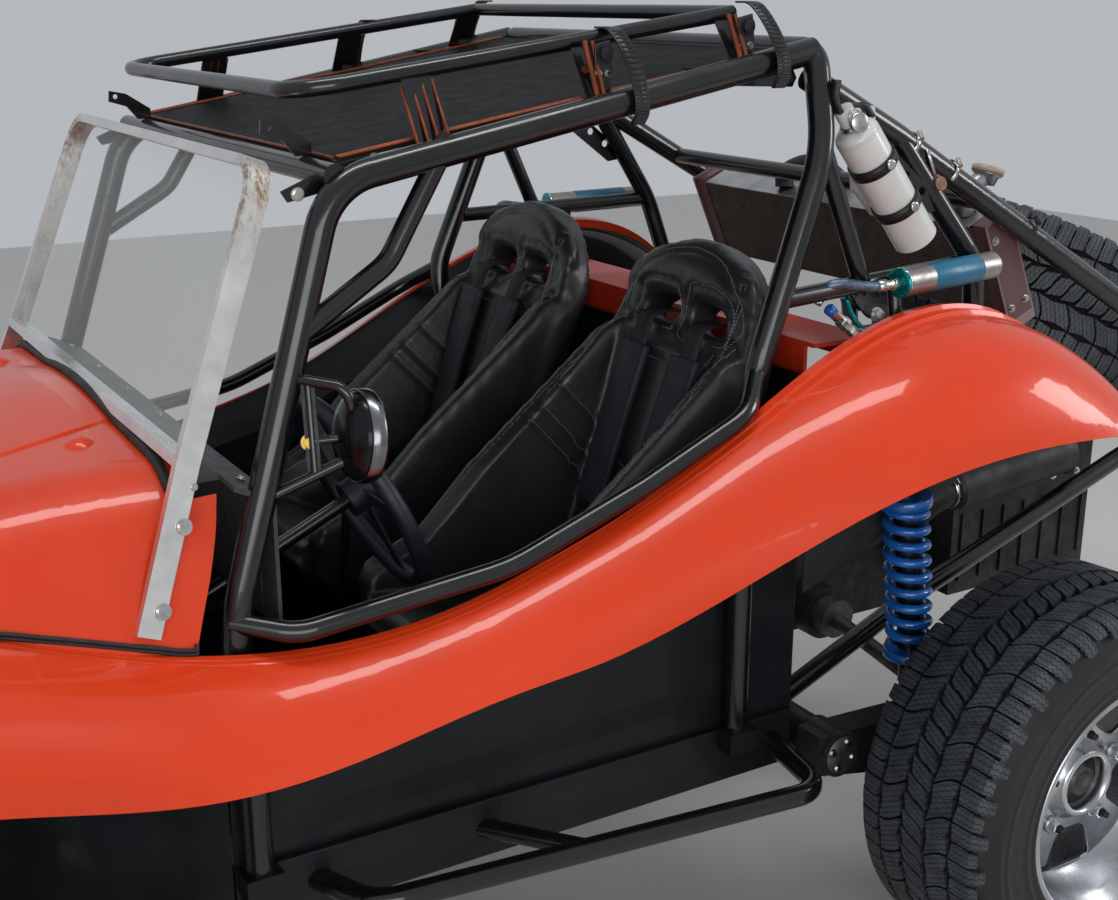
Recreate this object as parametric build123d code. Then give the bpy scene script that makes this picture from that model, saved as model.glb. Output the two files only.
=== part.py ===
from build123d import *
from math import cos, sin, radians, hypot
import os

# Open two-seat dune buggy: glass-fibre body on a tube and plate chassis, bolted roll cage with
# a roof rack, coil-sprung trailing arms at the back and a torsion-tube axle at the front.
# Millimetres. +X is forward, +Y is the driver's (left) side, +Z is up. The origin is on the
# ground, midway along the overall length.

os.makedirs("parts", exist_ok=True)

# Driving dimensions
OVERALL_LENGTH = 3850
FRONT_AXLE_X = 1340
REAR_AXLE_X = -760
REAR_TYRE_RADIUS = 385
REAR_TYRE_WIDTH = 300
REAR_TYRE_Y = 850
FRONT_TYRE_RADIUS = 345
FRONT_TYRE_WIDTH = 215
FRONT_TYRE_Y = 790
RIM_RADIUS = 200
RIM_WALL = 6
CAGE_TUBE = 22
LIGHT_TUBE = 16
BODY_WALL = 5
DASH_TOP = 1112
PLATE = 3
FLOOR_Z = 385
ROCKER_HEIGHT = 112
ROCKER_WIDTH = 90
TUNNEL_HALF_WIDTH = 70
TUB_HALF_WIDTH = 540
TUB_REAR_X = -350
TUB_TAPER_X = 730
TUB_FRONT_X = 1150
TUB_FRONT_HALF_WIDTH = 300
TOE_BOARD_HEIGHT = 420
KINGPIN_Y = 600
STEERING_ARM = 140
TIE_ROD_Z = 505
BEAM_X = 1480
BEAM_TUBE = 25
BEAM_LOW_Z = 330
BEAM_HIGH_Z = 470
BOSS_LOW_Z = 296
BOSS_HIGH_Z = 504
WHEEL_FACE = 690
FIT = 0.3
AIR = 6

FRONT_END = OVERALL_LENGTH / 2
REAR_END = -OVERALL_LENGTH / 2
NOSE_X = FRONT_END - 95
SEAT_SPACE = TUB_HALF_WIDTH - TUNNEL_HALF_WIDTH
SEAT_Y = TUNNEL_HALF_WIDTH + SEAT_SPACE / 2 + 5

ROCKER_TOP = FLOOR_Z + ROCKER_HEIGHT


def both(shape):
    """The shape and its mirror image on the other side of the buggy."""
    return [shape, mirror(shape, about=Plane.XZ)]


def flip(point):
    """A point moved to the other side of the buggy."""
    return point[0], -point[1], point[2]


def rod(start, end, radius):
    """A straight round bar between two points."""
    start, end = Vector(*start), Vector(*end)
    base = (Align.CENTER, Align.CENTER, Align.MIN)
    return Plane(origin=start, z_dir=end - start) * Cylinder(radius, (end - start).length, align=base)


def bent_tube(points, radius, bends):
    """A round tube along straight runs joined by bends."""
    path = FilletPolyline(*points, radius=bends)
    return sweep(Plane(origin=path @ 0, z_dir=path % 0) * Circle(radius), path=path)


def block(low, high):
    """A box between two corners."""
    size = [b - a for a, b in zip(low, high)]
    middle = [(a + b) / 2 for a, b in zip(low, high)]
    return Pos(*middle) * Box(*size)


def side_plate(outline, y_low, y_high):
    """A plate cut to an outline of (x, z) points, between two distances from the centre line."""
    face = make_face(Polyline(*[(x, y_low, z) for x, z in outline], close=True))
    return extrude(face, amount=y_high - y_low, dir=(0, 1, 0))


def turned(profile, centre):
    """A solid turned about an axis along Y through a point, from a profile of (y, radius)."""
    x, z = centre
    face = make_face(Polyline(*[(x, y, z + r) for y, r in profile], close=True))
    return revolve(face, axis=Axis((x, 0, z), (0, 1, 0)))


def save(node, *shapes):
    """Writes one node, as one solid or as several that don't touch."""
    solids = [s for shape in shapes for s in shape.solids()]
    whole = solids[0] if len(solids) == 1 else Compound(children=solids)
    export_step(whole, f"parts/{node}.step")


# Body side moulding: at each station, how far out from the tub's side and how high its inner edge,
# its crown and its outer edge lie, and the width and height of the two steps along its inner edge
BODY_STATIONS = [
    # x, inner out, inner z, crown out, crown z, outer out, outer z, step width, step height
    (NOSE_X, -60, 760, 60, 792, 195, 745, 12, 0.8),
    (FRONT_AXLE_X + 260, -50, 945, 110, 985, 310, 860, 12, 0.8),
    (FRONT_AXLE_X, -20, 1010, 155, 1057, 332, 885, 12, 0.8),
    (FRONT_AXLE_X - 260, 44, 974, 168, 968, 250, 816, 10, 0.8),
    (790, 60, 886, 152, 842, 212, 736, 10, 0.8),
    (515, 82, 866, 160, 828, 212, 757, 10, 0.8),
    (230, 92, 930, 172, 890, 222, 800, 10, 0.8),
    (-40, 105, 1048, 198, 1005, 260, 893, 12, 1.5),
    (-240, 100, 1152, 215, 1110, 305, 985, 17, 4),
    (REAR_AXLE_X + 280, 80, 1228, 208, 1210, 340, 1046, 22, 7),
    (REAR_AXLE_X + 60, 72, 1214, 212, 1200, 345, 1049, 24, 7),
    (REAR_AXLE_X - 110, 82, 1108, 205, 1108, 325, 1025, 14, 0.8),
    (REAR_AXLE_X - 185, 110, 1010, 180, 1018, 262, 980, 10, 0.8),
]


def arc_centre(a, b, c):
    """Centre of the circle through three (y, z) points."""
    d = 2 * (a[0] * (b[1] - c[1]) + b[0] * (c[1] - a[1]) + c[0] * (a[1] - b[1]))
    sa, sb, sc = (p[0] ** 2 + p[1] ** 2 for p in (a, b, c))
    y = (sa * (b[1] - c[1]) + sb * (c[1] - a[1]) + sc * (a[1] - b[1])) / d
    z = (sa * (c[0] - b[0]) + sb * (a[0] - c[0]) + sc * (b[0] - a[0])) / d
    return y, z


def towards(point, centre, distance):
    """The point moved by a distance towards a centre."""
    dy, dz = centre[0] - point[0], centre[1] - point[1]
    reach = hypot(dy, dz)
    return point[0] + dy / reach * distance, point[1] + dz / reach * distance


def body_section(side, x, *row):
    """One station of a side moulding: an arched strip, with two steps along its inner edge."""
    *edges, width, height = row
    outer = [(side * (TUB_HALF_WIDTH + out), z) for out, z in zip(edges[::2], edges[1::2])]
    centre = arc_centre(*outer)
    inner = [towards(p, centre, BODY_WALL) for p in outer]
    arch = ThreePointArc(*[(x, *p) for p in outer])
    feet = [((arch @ (share / arch.length)).Y, (arch @ (share / arch.length)).Z)
            for share in (0, width, width + 3, 2 * width, 2 * width + 3)]
    steps = [towards(p, centre, -rise * height) for p, rise in zip(feet, (2, 2, 1, 1, 0))]
    top = ThreePointArc(*[(x, *p) for p in (steps[-1], outer[1], outer[2])])
    under = ThreePointArc(*[(x, *p) for p in reversed(inner)])
    rest = Polyline(under @ 1, *[(x, *p) for p in steps[:-1]], top @ 0)
    return make_face([top, Line(top @ 1, under @ 0), under, rest])


# Rear deck and bulkhead behind the seats
DECK_FRONT_X = TUB_REAR_X - FIT - 8
DECK_REAR_X = -480
DECK_Z = 1185
DECK_HALF_WIDTH = 560
BULKHEAD = 8


def rear_bulkhead():
    """The body's rear deck, with the bulkhead below its front edge and a lip at its back."""
    front = DECK_FRONT_X + BULKHEAD
    wall = block((DECK_FRONT_X, AIR - TUB_HALF_WIDTH, 480), (front, TUB_HALF_WIDTH - AIR, DECK_Z))
    deck = block((DECK_REAR_X, -DECK_HALF_WIDTH, DECK_Z), (front, DECK_HALF_WIDTH, DECK_Z + BULKHEAD))
    lip = block((DECK_REAR_X, -DECK_HALF_WIDTH, DECK_Z - 40),
                (DECK_REAR_X + BULKHEAD, DECK_HALF_WIDTH, DECK_Z))
    return wall + deck + lip


# Hood: at each station, the seam's and the shoulder's place out from the tub's side and height, and
# the height at the centre
HOOD_STATIONS = [
    # x, seam out, seam z, shoulder out, shoulder z, centre z
    (NOSE_X + 36, -70, 668, -190, 690, 694),
    (NOSE_X, -62, 760, -150, 806, 815),
    (FRONT_AXLE_X + 260, -52, 945, -120, 1000, 1010),
    (FRONT_AXLE_X, -22, 1010, -80, 1066, 1078),
    (FRONT_AXLE_X - 260, 40.5, 974, -58, 1106, 1115),
    (790, 58.5, 886, -24, 1124, 1136),
    (690, 62, 872, -20, 1128, 1140),
]
HOOD_SHOULDER = 0.42
HOOD_REAR_X = 748
EAR_EDGE = [(786, 870), (742, 985), (716, 1070), (690, 1140)]
RAISED_REAR = 205
RAISED_FRONT = 330
RAISED_HEIGHT = 8
BUMP = (848, 300, 1126)
BUMP_RADIUS = 30


def hood_section(x, seam_out, seam_z, shoulder_out, shoulder_z, centre_z):
    """One station of the hood: flanks, rounded shoulders, and an arc across the top."""
    def edge(wall):
        seam = Vector(x, TUB_HALF_WIDTH + seam_out - wall, seam_z)
        corner = Vector(x, TUB_HALF_WIDTH + shoulder_out - wall * 0.9, shoulder_z - wall)
        crown = Vector(x, 0, centre_z - wall)
        start = corner + (seam - corner) * HOOD_SHOULDER
        end = corner + (Vector(x, corner.Y / 2, (corner.Z + crown.Z) / 2) - corner) * HOOD_SHOULDER
        middle = corner + ((start + end) / 2 - corner) * 0.55
        other = [Vector(p.X, -p.Y, p.Z) for p in (seam, start, middle, end)]
        return [Line(seam, start), ThreePointArc(start, middle, end), ThreePointArc(end, crown, other[3]),
                ThreePointArc(other[3], other[2], other[1]), Line(other[1], other[0])]
    outer, inner = edge(0), edge(BODY_WALL)
    ends = [Line(outer[0] @ 0, inner[0] @ 0), Line(outer[-1] @ 1, inner[-1] @ 1)]
    return make_face(outer + inner + ends)


def hood_raise():
    """The raised middle of the hood, from the windshield to above the front axle."""
    slopes = []
    for x, half, low, high in ((HOOD_REAR_X, RAISED_REAR, 1120, 1139.5 + RAISED_HEIGHT),
                               (FRONT_AXLE_X - 260, RAISED_FRONT, 1096, 1115 + RAISED_HEIGHT),
                               (FRONT_AXLE_X - 20, RAISED_FRONT + 30, 1058, 1076)):
        top = ThreePointArc((x, half - 14, high - 11), (x, 0, high), (x, 14 - half, high - 11))
        rest = Polyline(top @ 1, (x, -half, low), (x, half, low), top @ 0)
        slopes.append(make_face([top, rest]))
    return loft(slopes)


def hood():
    """The hood, open behind the windshield but for an ear at each side that shuts the flank."""
    skin = loft([hood_section(*row) for row in HOOD_STATIONS])
    inside = loft([hood_inside(*row) for row in HOOD_STATIONS])
    skin += hood_raise() - inside
    x, y, z = BUMP
    for side in (1, -1):
        skin += Pos(x, side * y, z - BUMP_RADIUS * 0.55) * Sphere(BUMP_RADIUS) - inside
    skin -= block((0, 28 - TUB_HALF_WIDTH, 900), (HOOD_REAR_X, TUB_HALF_WIDTH - 28, 1300))
    behind = side_plate([(0, 800), *EAR_EDGE, (690, 1300), (0, 1300)], -2 * TUB_HALF_WIDTH, 2 * TUB_HALF_WIDTH)
    return skin - behind


def hood_inside(x, seam_out, seam_z, shoulder_out, shoulder_z, centre_z):
    """The hollow below the hood at one of its stations."""
    wall = BODY_WALL / 2
    seam, shoulder = TUB_HALF_WIDTH + seam_out - wall, TUB_HALF_WIDTH + shoulder_out - 2 * wall
    top = ThreePointArc((x, shoulder, shoulder_z - 2 * wall - 2), (x, 0, centre_z - wall),
                        (x, -shoulder, shoulder_z - 2 * wall - 2))
    return make_face([top, Polyline(top @ 1, (x, -seam, seam_z), (x, seam, seam_z), top @ 0)])


# Windshield: corners of the channel's centre line on the left side. The channel's broad sides face
# outwards and its edges face forwards and back.
SHIELD_LOW = (759, TUB_HALF_WIDTH + 5, 1149)
SHIELD_HIGH = (607, TUB_HALF_WIDTH - 40, 1545)
SHIELD_FACE = 16
SHIELD_DEPTH = 34
SHIELD_CORNER = 60
POST_FOOT = (845, TUB_HALF_WIDTH + 52, 925)
GLASS = 6
SHIELD_RISE = Vector(SHIELD_HIGH[0] - SHIELD_LOW[0], 0, SHIELD_HIGH[2] - SHIELD_LOW[2]).normalized()
SHIELD_NORMAL = Vector(SHIELD_RISE.Z, 0, -SHIELD_RISE.X)


def shield_channel(path):
    """A run of the windshield's channel along a path, its depth square to the glass."""
    section = Plane(origin=path @ 0, x_dir=SHIELD_NORMAL, z_dir=path % 0) * Rectangle(SHIELD_DEPTH, SHIELD_FACE)
    return sweep(section, path=path)


def windshield_frame():
    """The channel round the glass, with a post at each side that runs down over the hood."""
    corners = [flip(SHIELD_LOW), flip(SHIELD_HIGH), SHIELD_HIGH, SHIELD_LOW]
    frame = shield_channel(FilletPolyline(*corners, radius=SHIELD_CORNER))
    frame += shield_channel(Line(flip(SHIELD_LOW), SHIELD_LOW))
    for foot, corner in ((POST_FOOT, SHIELD_LOW), (flip(POST_FOOT), flip(SHIELD_LOW))):
        frame += shield_channel(Line(foot, corner))
    return frame


def windshield_glass():
    low, high = Vector(*SHIELD_LOW), Vector(*SHIELD_HIGH)
    inset = SHIELD_FACE / 2 + FIT
    a = Vector(low.X, 0, low.Z) + SHIELD_RISE * inset
    b = Vector(high.X, 0, high.Z) - SHIELD_RISE * inset
    ya, yb = low.Y - inset - 1, high.Y - inset - 1
    corners = [(a.X, -ya, a.Z), (a.X, ya, a.Z), (b.X, yb, b.Z), (b.X, -yb, b.Z)]
    edge = FilletPolyline(*corners, radius=SHIELD_CORNER - SHIELD_FACE / 2, close=True)
    pane = make_face(edge).face()
    facing = pane.normal_at()
    return extrude(pane, amount=GLASS / 2, dir=facing) + extrude(pane, amount=GLASS / 2, dir=-facing)


def floor_pan():
    """Floor with tunnel, rocker boxes along both sides, toe board and the narrow frame head."""
    z = FLOOR_Z
    pan = block((TUB_REAR_X, -TUB_HALF_WIDTH, z), (TUB_TAPER_X, TUB_HALF_WIDTH, z + PLATE))
    nose = make_face(Polyline((TUB_TAPER_X, -TUB_HALF_WIDTH, z), (TUB_TAPER_X, TUB_HALF_WIDTH, z),
                              (TUB_FRONT_X, TUB_FRONT_HALF_WIDTH, z),
                              (TUB_FRONT_X, -TUB_FRONT_HALF_WIDTH, z), close=True))
    pan += extrude(nose, amount=PLATE, dir=(0, 0, 1))
    pan += block((TUB_REAR_X, -TUNNEL_HALF_WIDTH, z), (TUB_FRONT_X, TUNNEL_HALF_WIDTH, z + 130))
    pan += block((TUB_FRONT_X - PLATE, -TUB_FRONT_HALF_WIDTH, z),
                 (TUB_FRONT_X, TUB_FRONT_HALF_WIDTH, z + TOE_BOARD_HEIGHT))
    pan += block((TUB_FRONT_X, -140, z), (BEAM_X - BEAM_TUBE - FIT, 140, BEAM_HIGH_Z + 10))
    rocker = block((TUB_REAR_X, TUB_HALF_WIDTH - ROCKER_WIDTH, z), (TUB_TAPER_X, TUB_HALF_WIDTH, ROCKER_TOP))
    outriggers = [block((x - 30, TUB_HALF_WIDTH - 2, ROCKER_TOP - 40),
                        (x + 30, CAGE_FOOT_Y + CAGE_TUBE + 6, ROCKER_TOP)) for x in CAGE_FEET_X]
    for piece in both(rocker):
        pan += piece
    for outrigger in outriggers:
        for piece in both(outrigger):
            pan += piece
    return pan - column_hole()


# Roll cage, points of the left side's centre lines
CAGE_FOOT_Y = TUB_HALF_WIDTH + CAGE_TUBE + 2
CAGE_TOP_Y = TUB_HALF_WIDTH - 12
STAY_Y = TUB_HALF_WIDTH - 40
PILLAR_X = 719
MAIN_FOOT_X = TUB_REAR_X + 145
CAGE_FEET_X = [PILLAR_X - 20, MAIN_FOOT_X]
PILLAR_TOP = (522, CAGE_TOP_Y, 1518)
RAIL_REAR = (TUB_REAR_X, CAGE_TOP_Y - 8, 1684)
MAIN_KNEE = (-195, TUB_HALF_WIDTH + 58, 1170)
MAIN_BEND = (-336, TUB_HALF_WIDTH + 35, 1527)
STAY_TOP = (-352, STAY_Y + 8, 1640)
STAY_SPLIT = (-565, STAY_Y, 1535)
STAY_MIDDLE = (-1210, STAY_Y, 1172)
STAY_END = (REAR_END + CAGE_TUBE, STAY_Y, 778)
KNEE = (-743, STAY_Y + 39, 1300)
KNEE_FOOT = (-850, STAY_Y - 30, 900)
ROOF_BAR = (512, CAGE_TOP_Y, 1528)
STAY_BAR = (-800, STAY_Y, 1403)
CROSS_RADIUS = CAGE_TUBE * 0.8
SHELF_FRONT = (-238, TUB_HALF_WIDTH + 52, 1285)
BRACE_FOOT = (-442, TUB_HALF_WIDTH + 32, 1291)


def front_hoop():
    """A windshield pillar and roof rail in one bent tube, with the brace across its corner."""
    points = [(PILLAR_X - 20, CAGE_FOOT_Y, ROCKER_TOP), (PILLAR_X - 20, CAGE_FOOT_Y, 720),
              (PILLAR_X, TUB_HALF_WIDTH + 33, 896), PILLAR_TOP, RAIL_REAR]
    hoop = bent_tube(points, CAGE_TUBE, [200, 300, 110])
    brace = [(590, CAGE_TOP_Y + 20, 1310), (440, CAGE_TOP_Y + 7, 1400), (330, CAGE_TOP_Y - 4, 1575)]
    return hoop + bent_tube(brace, LIGHT_TUBE, [80])


def main_hoop():
    """The hoop behind the seats, bent forward to its feet beside the tub."""
    leg = [(MAIN_FOOT_X, CAGE_FOOT_Y, ROCKER_TOP), (MAIN_FOOT_X, CAGE_FOOT_Y, 1000), MAIN_KNEE,
           MAIN_BEND, (-352, CAGE_TOP_Y - 4, 1684)]
    points = leg + [flip(p) for p in reversed(leg)]
    return bent_tube(points, CAGE_TUBE, [150, 150, 300, 45, 45, 300, 150, 150])


def door_rail():
    side = TUB_HALF_WIDTH
    points = [(PILLAR_X, side + 33, 912), (640, side + 88, 898), (300, side + 108, 940),
              (60, side + 116, 1032), (-130, side + 122, 1120), MAIN_KNEE]
    return bent_tube(points, LIGHT_TUBE, [80, 300, 400, 90])


def rear_stay():
    """Stay from the main hoop to the rear tube, with the knee tube down beside the radiator."""
    stay = bent_tube([STAY_TOP, STAY_SPLIT, STAY_MIDDLE, STAY_END], CAGE_TUBE, [400, 900])
    knee = bent_tube([STAY_SPLIT, KNEE, KNEE_FOOT], CAGE_TUBE * 0.9, [150])
    return stay + knee


def shelf_tubes():
    """Shelf tube beside the deck and the brace that comes down to it from the main hoop."""
    shelf = rod(SHELF_FRONT, KNEE, LIGHT_TUBE) + rod(MAIN_BEND, BRACE_FOOT, LIGHT_TUBE)
    x, y, z = COIL_HIGH
    return shelf + rod((x, TUB_HALF_WIDTH + 22, 1284), (x, y - 13, z + COIL_EYE + FIT), 12)


def cross_tube(point, radius):
    return rod(flip(point), point, radius)


# Roof: the mesh panel lies between the rails, and the rack stands over it
ROOF_FRONT = (500, CAGE_TOP_Y - 34, 1541)
ROOF_REAR = (-322, CAGE_TOP_Y - 34, 1680)
ROOF_THICKNESS = 4
RACK_Y = TUB_HALF_WIDTH - 90
RACK_FRONT = (535, RACK_Y, 1640)
RACK_REAR = (-230, RACK_Y, 1744)
RACK_TUBE = 12.5


def roof_panel():
    x0, y, z0 = ROOF_FRONT
    x1, _, z1 = ROOF_REAR
    outline = [(x0, z0), (x1, z1), (x1, z1 + ROOF_THICKNESS), (x0, z0 + ROOF_THICKNESS)]
    return side_plate(outline, -y, y)


def roof_rack():
    corners = [RACK_REAR, RACK_FRONT, flip(RACK_FRONT), flip(RACK_REAR)]
    hoop = bent_tube(corners, RACK_TUBE, [70, 70])
    return hoop + rod(flip(RACK_REAR), RACK_REAR, RACK_TUBE)


def rack_height(x):
    """Height of the rack tube's centre line above the ground at a place along it."""
    share = (x - RACK_REAR[0]) / (RACK_FRONT[0] - RACK_REAR[0])
    return RACK_REAR[2] + share * (RACK_FRONT[2] - RACK_REAR[2])


def rail_height(x):
    """Height of the roof rail's centre line at a place along it."""
    share = (x - RAIL_REAR[0]) / (PILLAR_TOP[0] - RAIL_REAR[0])
    return RAIL_REAR[2] + share * (PILLAR_TOP[2] - RAIL_REAR[2])


RACK_BRACKETS_X = [350, 60, -215]
LAMP_TAB_Y = RACK_Y - 40
LAMP_HOLE = (565, 1589)
LAMP_HOLE_RADIUS = 4.5


def rack_brackets():
    """Flat uprights from the roof rails to the rack tube, and two lamp tabs on the front bar."""
    pieces = []
    for x in RACK_BRACKETS_X:
        low, high = rail_height(x) + 4, rack_height(x)
        outer, inner = CAGE_TOP_Y - 16, RACK_Y
        face = make_face(Polyline((x - 25, outer - PLATE, low), (x - 25, outer, low),
                                  (x - 25, inner + PLATE, high), (x - 25, inner, high), close=True))
        pieces += both(extrude(face, amount=50, dir=(1, 0, 0)))
    tab = side_plate([(500, 1546), (525, 1546), (545, 1570), (578, 1580), (576, 1600), (545, 1594),
                      (500, 1565)], LAMP_TAB_Y - 2, LAMP_TAB_Y + 2)
    x, z = LAMP_HOLE
    hole = rod((x, LAMP_TAB_Y - 4, z), (x, LAMP_TAB_Y + 4, z), LAMP_HOLE_RADIUS)
    return pieces + both(tab - hole)


# Seat: the hip point on the centre line of the driver's seat, and the backrest's outline
HIP = (-20, SEAT_Y, 610)
SEAT_LEAN = 19
BACK_LENGTH = 794
BACK_THICKNESS = 95
BACK_HALF_WIDTH = SEAT_SPACE / 2 - 17
CUSHION_FRONT = (350, 745)
CUSHION_THICKNESS = 105
BOLSTER_WIDTH = 48
HOLE_LOW, HOLE_HIGH = 628, 695
# Side wall of the seat in side view: forward of the hip point and above it
SEAT_WALL = [(-30, -105), (335, 10), (372, 150), (235, 228), (122, 338), (-165, 572), (-232, 592), (-275, 540),
             (-90, -35)]


def seat_back_plane():
    """The front of the backrest, with its x across the seat and its y up the back."""
    lean = radians(SEAT_LEAN)
    return Plane(origin=HIP, x_dir=(0, 1, 0), z_dir=(cos(lean), 0, sin(lean)))


def seat():
    """High-back bucket seat with side bolsters and two harness holes below the headrest."""
    w, arch = BACK_HALF_WIDTH, 185
    back_plane = seat_back_plane()
    top = BACK_LENGTH
    sides = FilletPolyline((-w + 20, -60), (-w, 300), (-w, top), (w, top), (w, 300), (w - 20, -60),
                           radius=[200, arch, arch, 200])
    outline = make_face([sides, Line(sides @ 1, sides @ 0)])
    for side in (1, -1):
        hole = make_face(FilletPolyline((side * 20, HOLE_LOW), (side * 145, HOLE_LOW), (side * 112, HOLE_HIGH),
                                        (side * 20, HOLE_HIGH), radius=12, close=True))
        outline -= hole
    back = extrude(back_plane * outline, amount=-BACK_THICKNESS)
    fx, fz = CUSHION_FRONT
    inner, outer = w - BOLSTER_WIDTH, w
    base = side_plate([(HIP[0] - 10, HIP[2]), (fx - 70, fz - 18), (fx, fz - 25), (fx + 20, fz - 60),
                       (fx - 10, fz - CUSHION_THICKNESS), (HIP[0], HIP[2] - CUSHION_THICKNESS)],
                      HIP[1] - inner, HIP[1] + inner)
    wall = make_face(FilletPolyline(*[(HIP[0] + x, HIP[1], HIP[2] + z) for x, z in SEAT_WALL], radius=24,
                                    close=True))
    for low, high in ((-outer, -inner), (inner, outer)):
        side_wall = extrude(wall, amount=high - low, dir=(0, 1, 0))
        base += Pos(0, low, 0) * side_wall
    return back + base


SEAT_BAR = 26


def seat_mount():
    """Two bars between the tunnel and the rocker box, with a plate up to each side of a seat."""
    y0, y1 = TUNNEL_HALF_WIDTH + FIT, TUB_HALF_WIDTH - ROCKER_WIDTH - FIT
    z = FLOOR_Z + 80
    low = HIP[2] - CUSHION_THICKNESS
    rise = (CUSHION_FRONT[1] - CUSHION_THICKNESS - low) / (CUSHION_FRONT[0] - 10 - HIP[0])

    def under(x):
        return low + rise * (x - HIP[0]) - FIT
    mount = block((40, y0, z), (40 + SEAT_BAR, y1, z + SEAT_BAR))
    mount += block((260, y0, z), (260 + SEAT_BAR, y1, z + SEAT_BAR))
    outline = [(40, z), (40, under(40)), (286, under(286)), (286, z)]
    for y in (SEAT_Y - 150, SEAT_Y + 122):
        mount += side_plate(outline, y, y + 4)
    return mount


# Flat side panels: height of the top edge at each station of the moulding that they reach
PANEL_TOP = {790: 815, 515: 800, 230: 862, -40: 978, -240: 1082, -480: 1150}


def side_panels(cage, shells):
    """Flat panels from the rocker boxes up to the body, and the liners out to the moulding's edge."""
    foot = ROCKER_TOP + FIT
    tops = [(x, z + AIR) for x, z in PANEL_TOP.items() if TUB_REAR_X < x < TUB_TAPER_X]
    outline = [(TUB_TAPER_X, foot), (TUB_REAR_X, foot), (TUB_REAR_X, 1118), *tops[::-1],
               (TUB_TAPER_X, 818)]
    flat = side_plate(outline, TUB_HALF_WIDTH - PLATE, TUB_HALF_WIDTH)
    end_x, low = TUB_FRONT_X - PLATE - FIT, FLOOR_Z + PLATE + FIT
    start_x = TUB_TAPER_X + PLATE
    toe = make_face(Polyline((start_x, TUB_HALF_WIDTH - PLATE, low), (end_x, TUB_FRONT_HALF_WIDTH, low),
                             (end_x, TUB_FRONT_HALF_WIDTH, 790),
                             (start_x, TUB_HALF_WIDTH - PLATE, 815), close=True))
    toe_panel = extrude(toe, amount=PLATE, dir=(0, -1, 0))
    sections = []
    for row in BODY_STATIONS:
        if row[0] in PANEL_TOP:
            x, out, z = row[:3]
            top, tub, edge = PANEL_TOP[x], TUB_HALF_WIDTH + FIT, TUB_HALF_WIDTH + out - 2 * FIT
            corners = [(x, tub, top), (x, edge, z), (x, edge, z - PLATE), (x, tub, top - PLATE)]
            sections.append(make_face(Polyline(*corners, close=True)))
    liner = loft(sections) & block((TUB_REAR_X, 0, 0), (742, 2 * TUB_HALF_WIDTH, 2000))
    pieces = both(flat) + [toe_panel - column_hole(), mirror(toe_panel, about=Plane.XZ)]
    return pieces + [biggest(cope(half, *cage, shell)) for half, shell in zip(both(liner), shells)]


def harness():
    """Two shoulder belts with their pads, lying on the backrest from the holes to the buckle."""
    back_plane = seat_back_plane()
    pieces = []
    for side in (1, -1):
        strip = make_face(Polyline((side * 45, 130), (side * 95, 130), (side * 100, HOLE_LOW - 5),
                                   (side * 40, HOLE_LOW - 5), close=True))
        pieces.append(extrude(back_plane.offset(FIT) * strip, amount=12))
    return pieces


# Steering: the column's centre line from the steering wheel to the steering box
COLUMN_TOP = (402, SEAT_Y, 980)
COLUMN_FOOT = (1385, SEAT_Y, 523)
COLUMN_RADIUS = 12
STEERING_WHEEL_RADIUS = 175
RIM_GRIP = 15
HUB_THICKNESS = 56


def column_axis():
    return (Vector(*COLUMN_TOP) - Vector(*COLUMN_FOOT)).normalized()


def column_hole():
    """The clearance round the steering column, to be cut from the panels that it passes."""
    return rod(COLUMN_TOP, COLUMN_FOOT, COLUMN_RADIUS + 4)


def steering_column():
    start = Vector(*COLUMN_TOP) - column_axis() * (HUB_THICKNESS / 2 + FIT)
    column = rod(start, COLUMN_FOOT, COLUMN_RADIUS)
    box = block((1360, SEAT_Y - 35, 465), (BEAM_X - BEAM_TUBE - FIT, SEAT_Y + 35, 560))
    return column + box


def steering_wheel():
    hub_plane = Plane(origin=COLUMN_TOP, z_dir=column_axis())
    wheel = hub_plane * Torus(STEERING_WHEEL_RADIUS, RIM_GRIP)
    hub = hub_plane * Cylinder(32, HUB_THICKNESS)
    spokes = [Rot(0, 0, angle) * Pos(STEERING_WHEEL_RADIUS / 2, 0, 0) * Box(STEERING_WHEEL_RADIUS, 30, 4)
              for angle in (0, 180, 270)]
    wheel += hub
    for spoke in spokes:
        wheel += hub_plane * spoke
    return wheel


def front_beam():
    """Two torsion tubes with a shock tower at each end, and the trailing arms behind them."""
    low, high = (BEAM_X, 425, BEAM_LOW_Z), (BEAM_X, 425, BEAM_HIGH_Z)
    beam = rod(flip(low), low, BEAM_TUBE) + rod(flip(high), high, BEAM_TUBE)
    tower = side_plate([(1445, 295), (1515, 295), (1520, 640), (1500, 740), (1470, 740), (1445, 640)], 417, 427)
    for piece in both(tower):
        beam += piece
    for side in (1, -1):
        for z, end in ((BEAM_LOW_Z, BOSS_LOW_Z), (BEAM_HIGH_Z, BOSS_HIGH_Z)):
            beam += rod((BEAM_X, side * 425, z), (BEAM_X, side * 475, z), 20)
            beam += rod((BEAM_X, side * 462, z), (FRONT_AXLE_X, side * (KINGPIN_Y - 18), end), 14)
            beam += rod((FRONT_AXLE_X, side * KINGPIN_Y, end - 16), (FRONT_AXLE_X, side * KINGPIN_Y, end + 16), 26)
    for side in (1, -1):
        beam += rod((1395, side * 532, 312), (1395, side * 462, 321), 10)
    return beam


def front_shocks():
    shock = rod((1475, 445.5, 705), (1398, 470, 333), 18)
    return both(shock)


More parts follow.
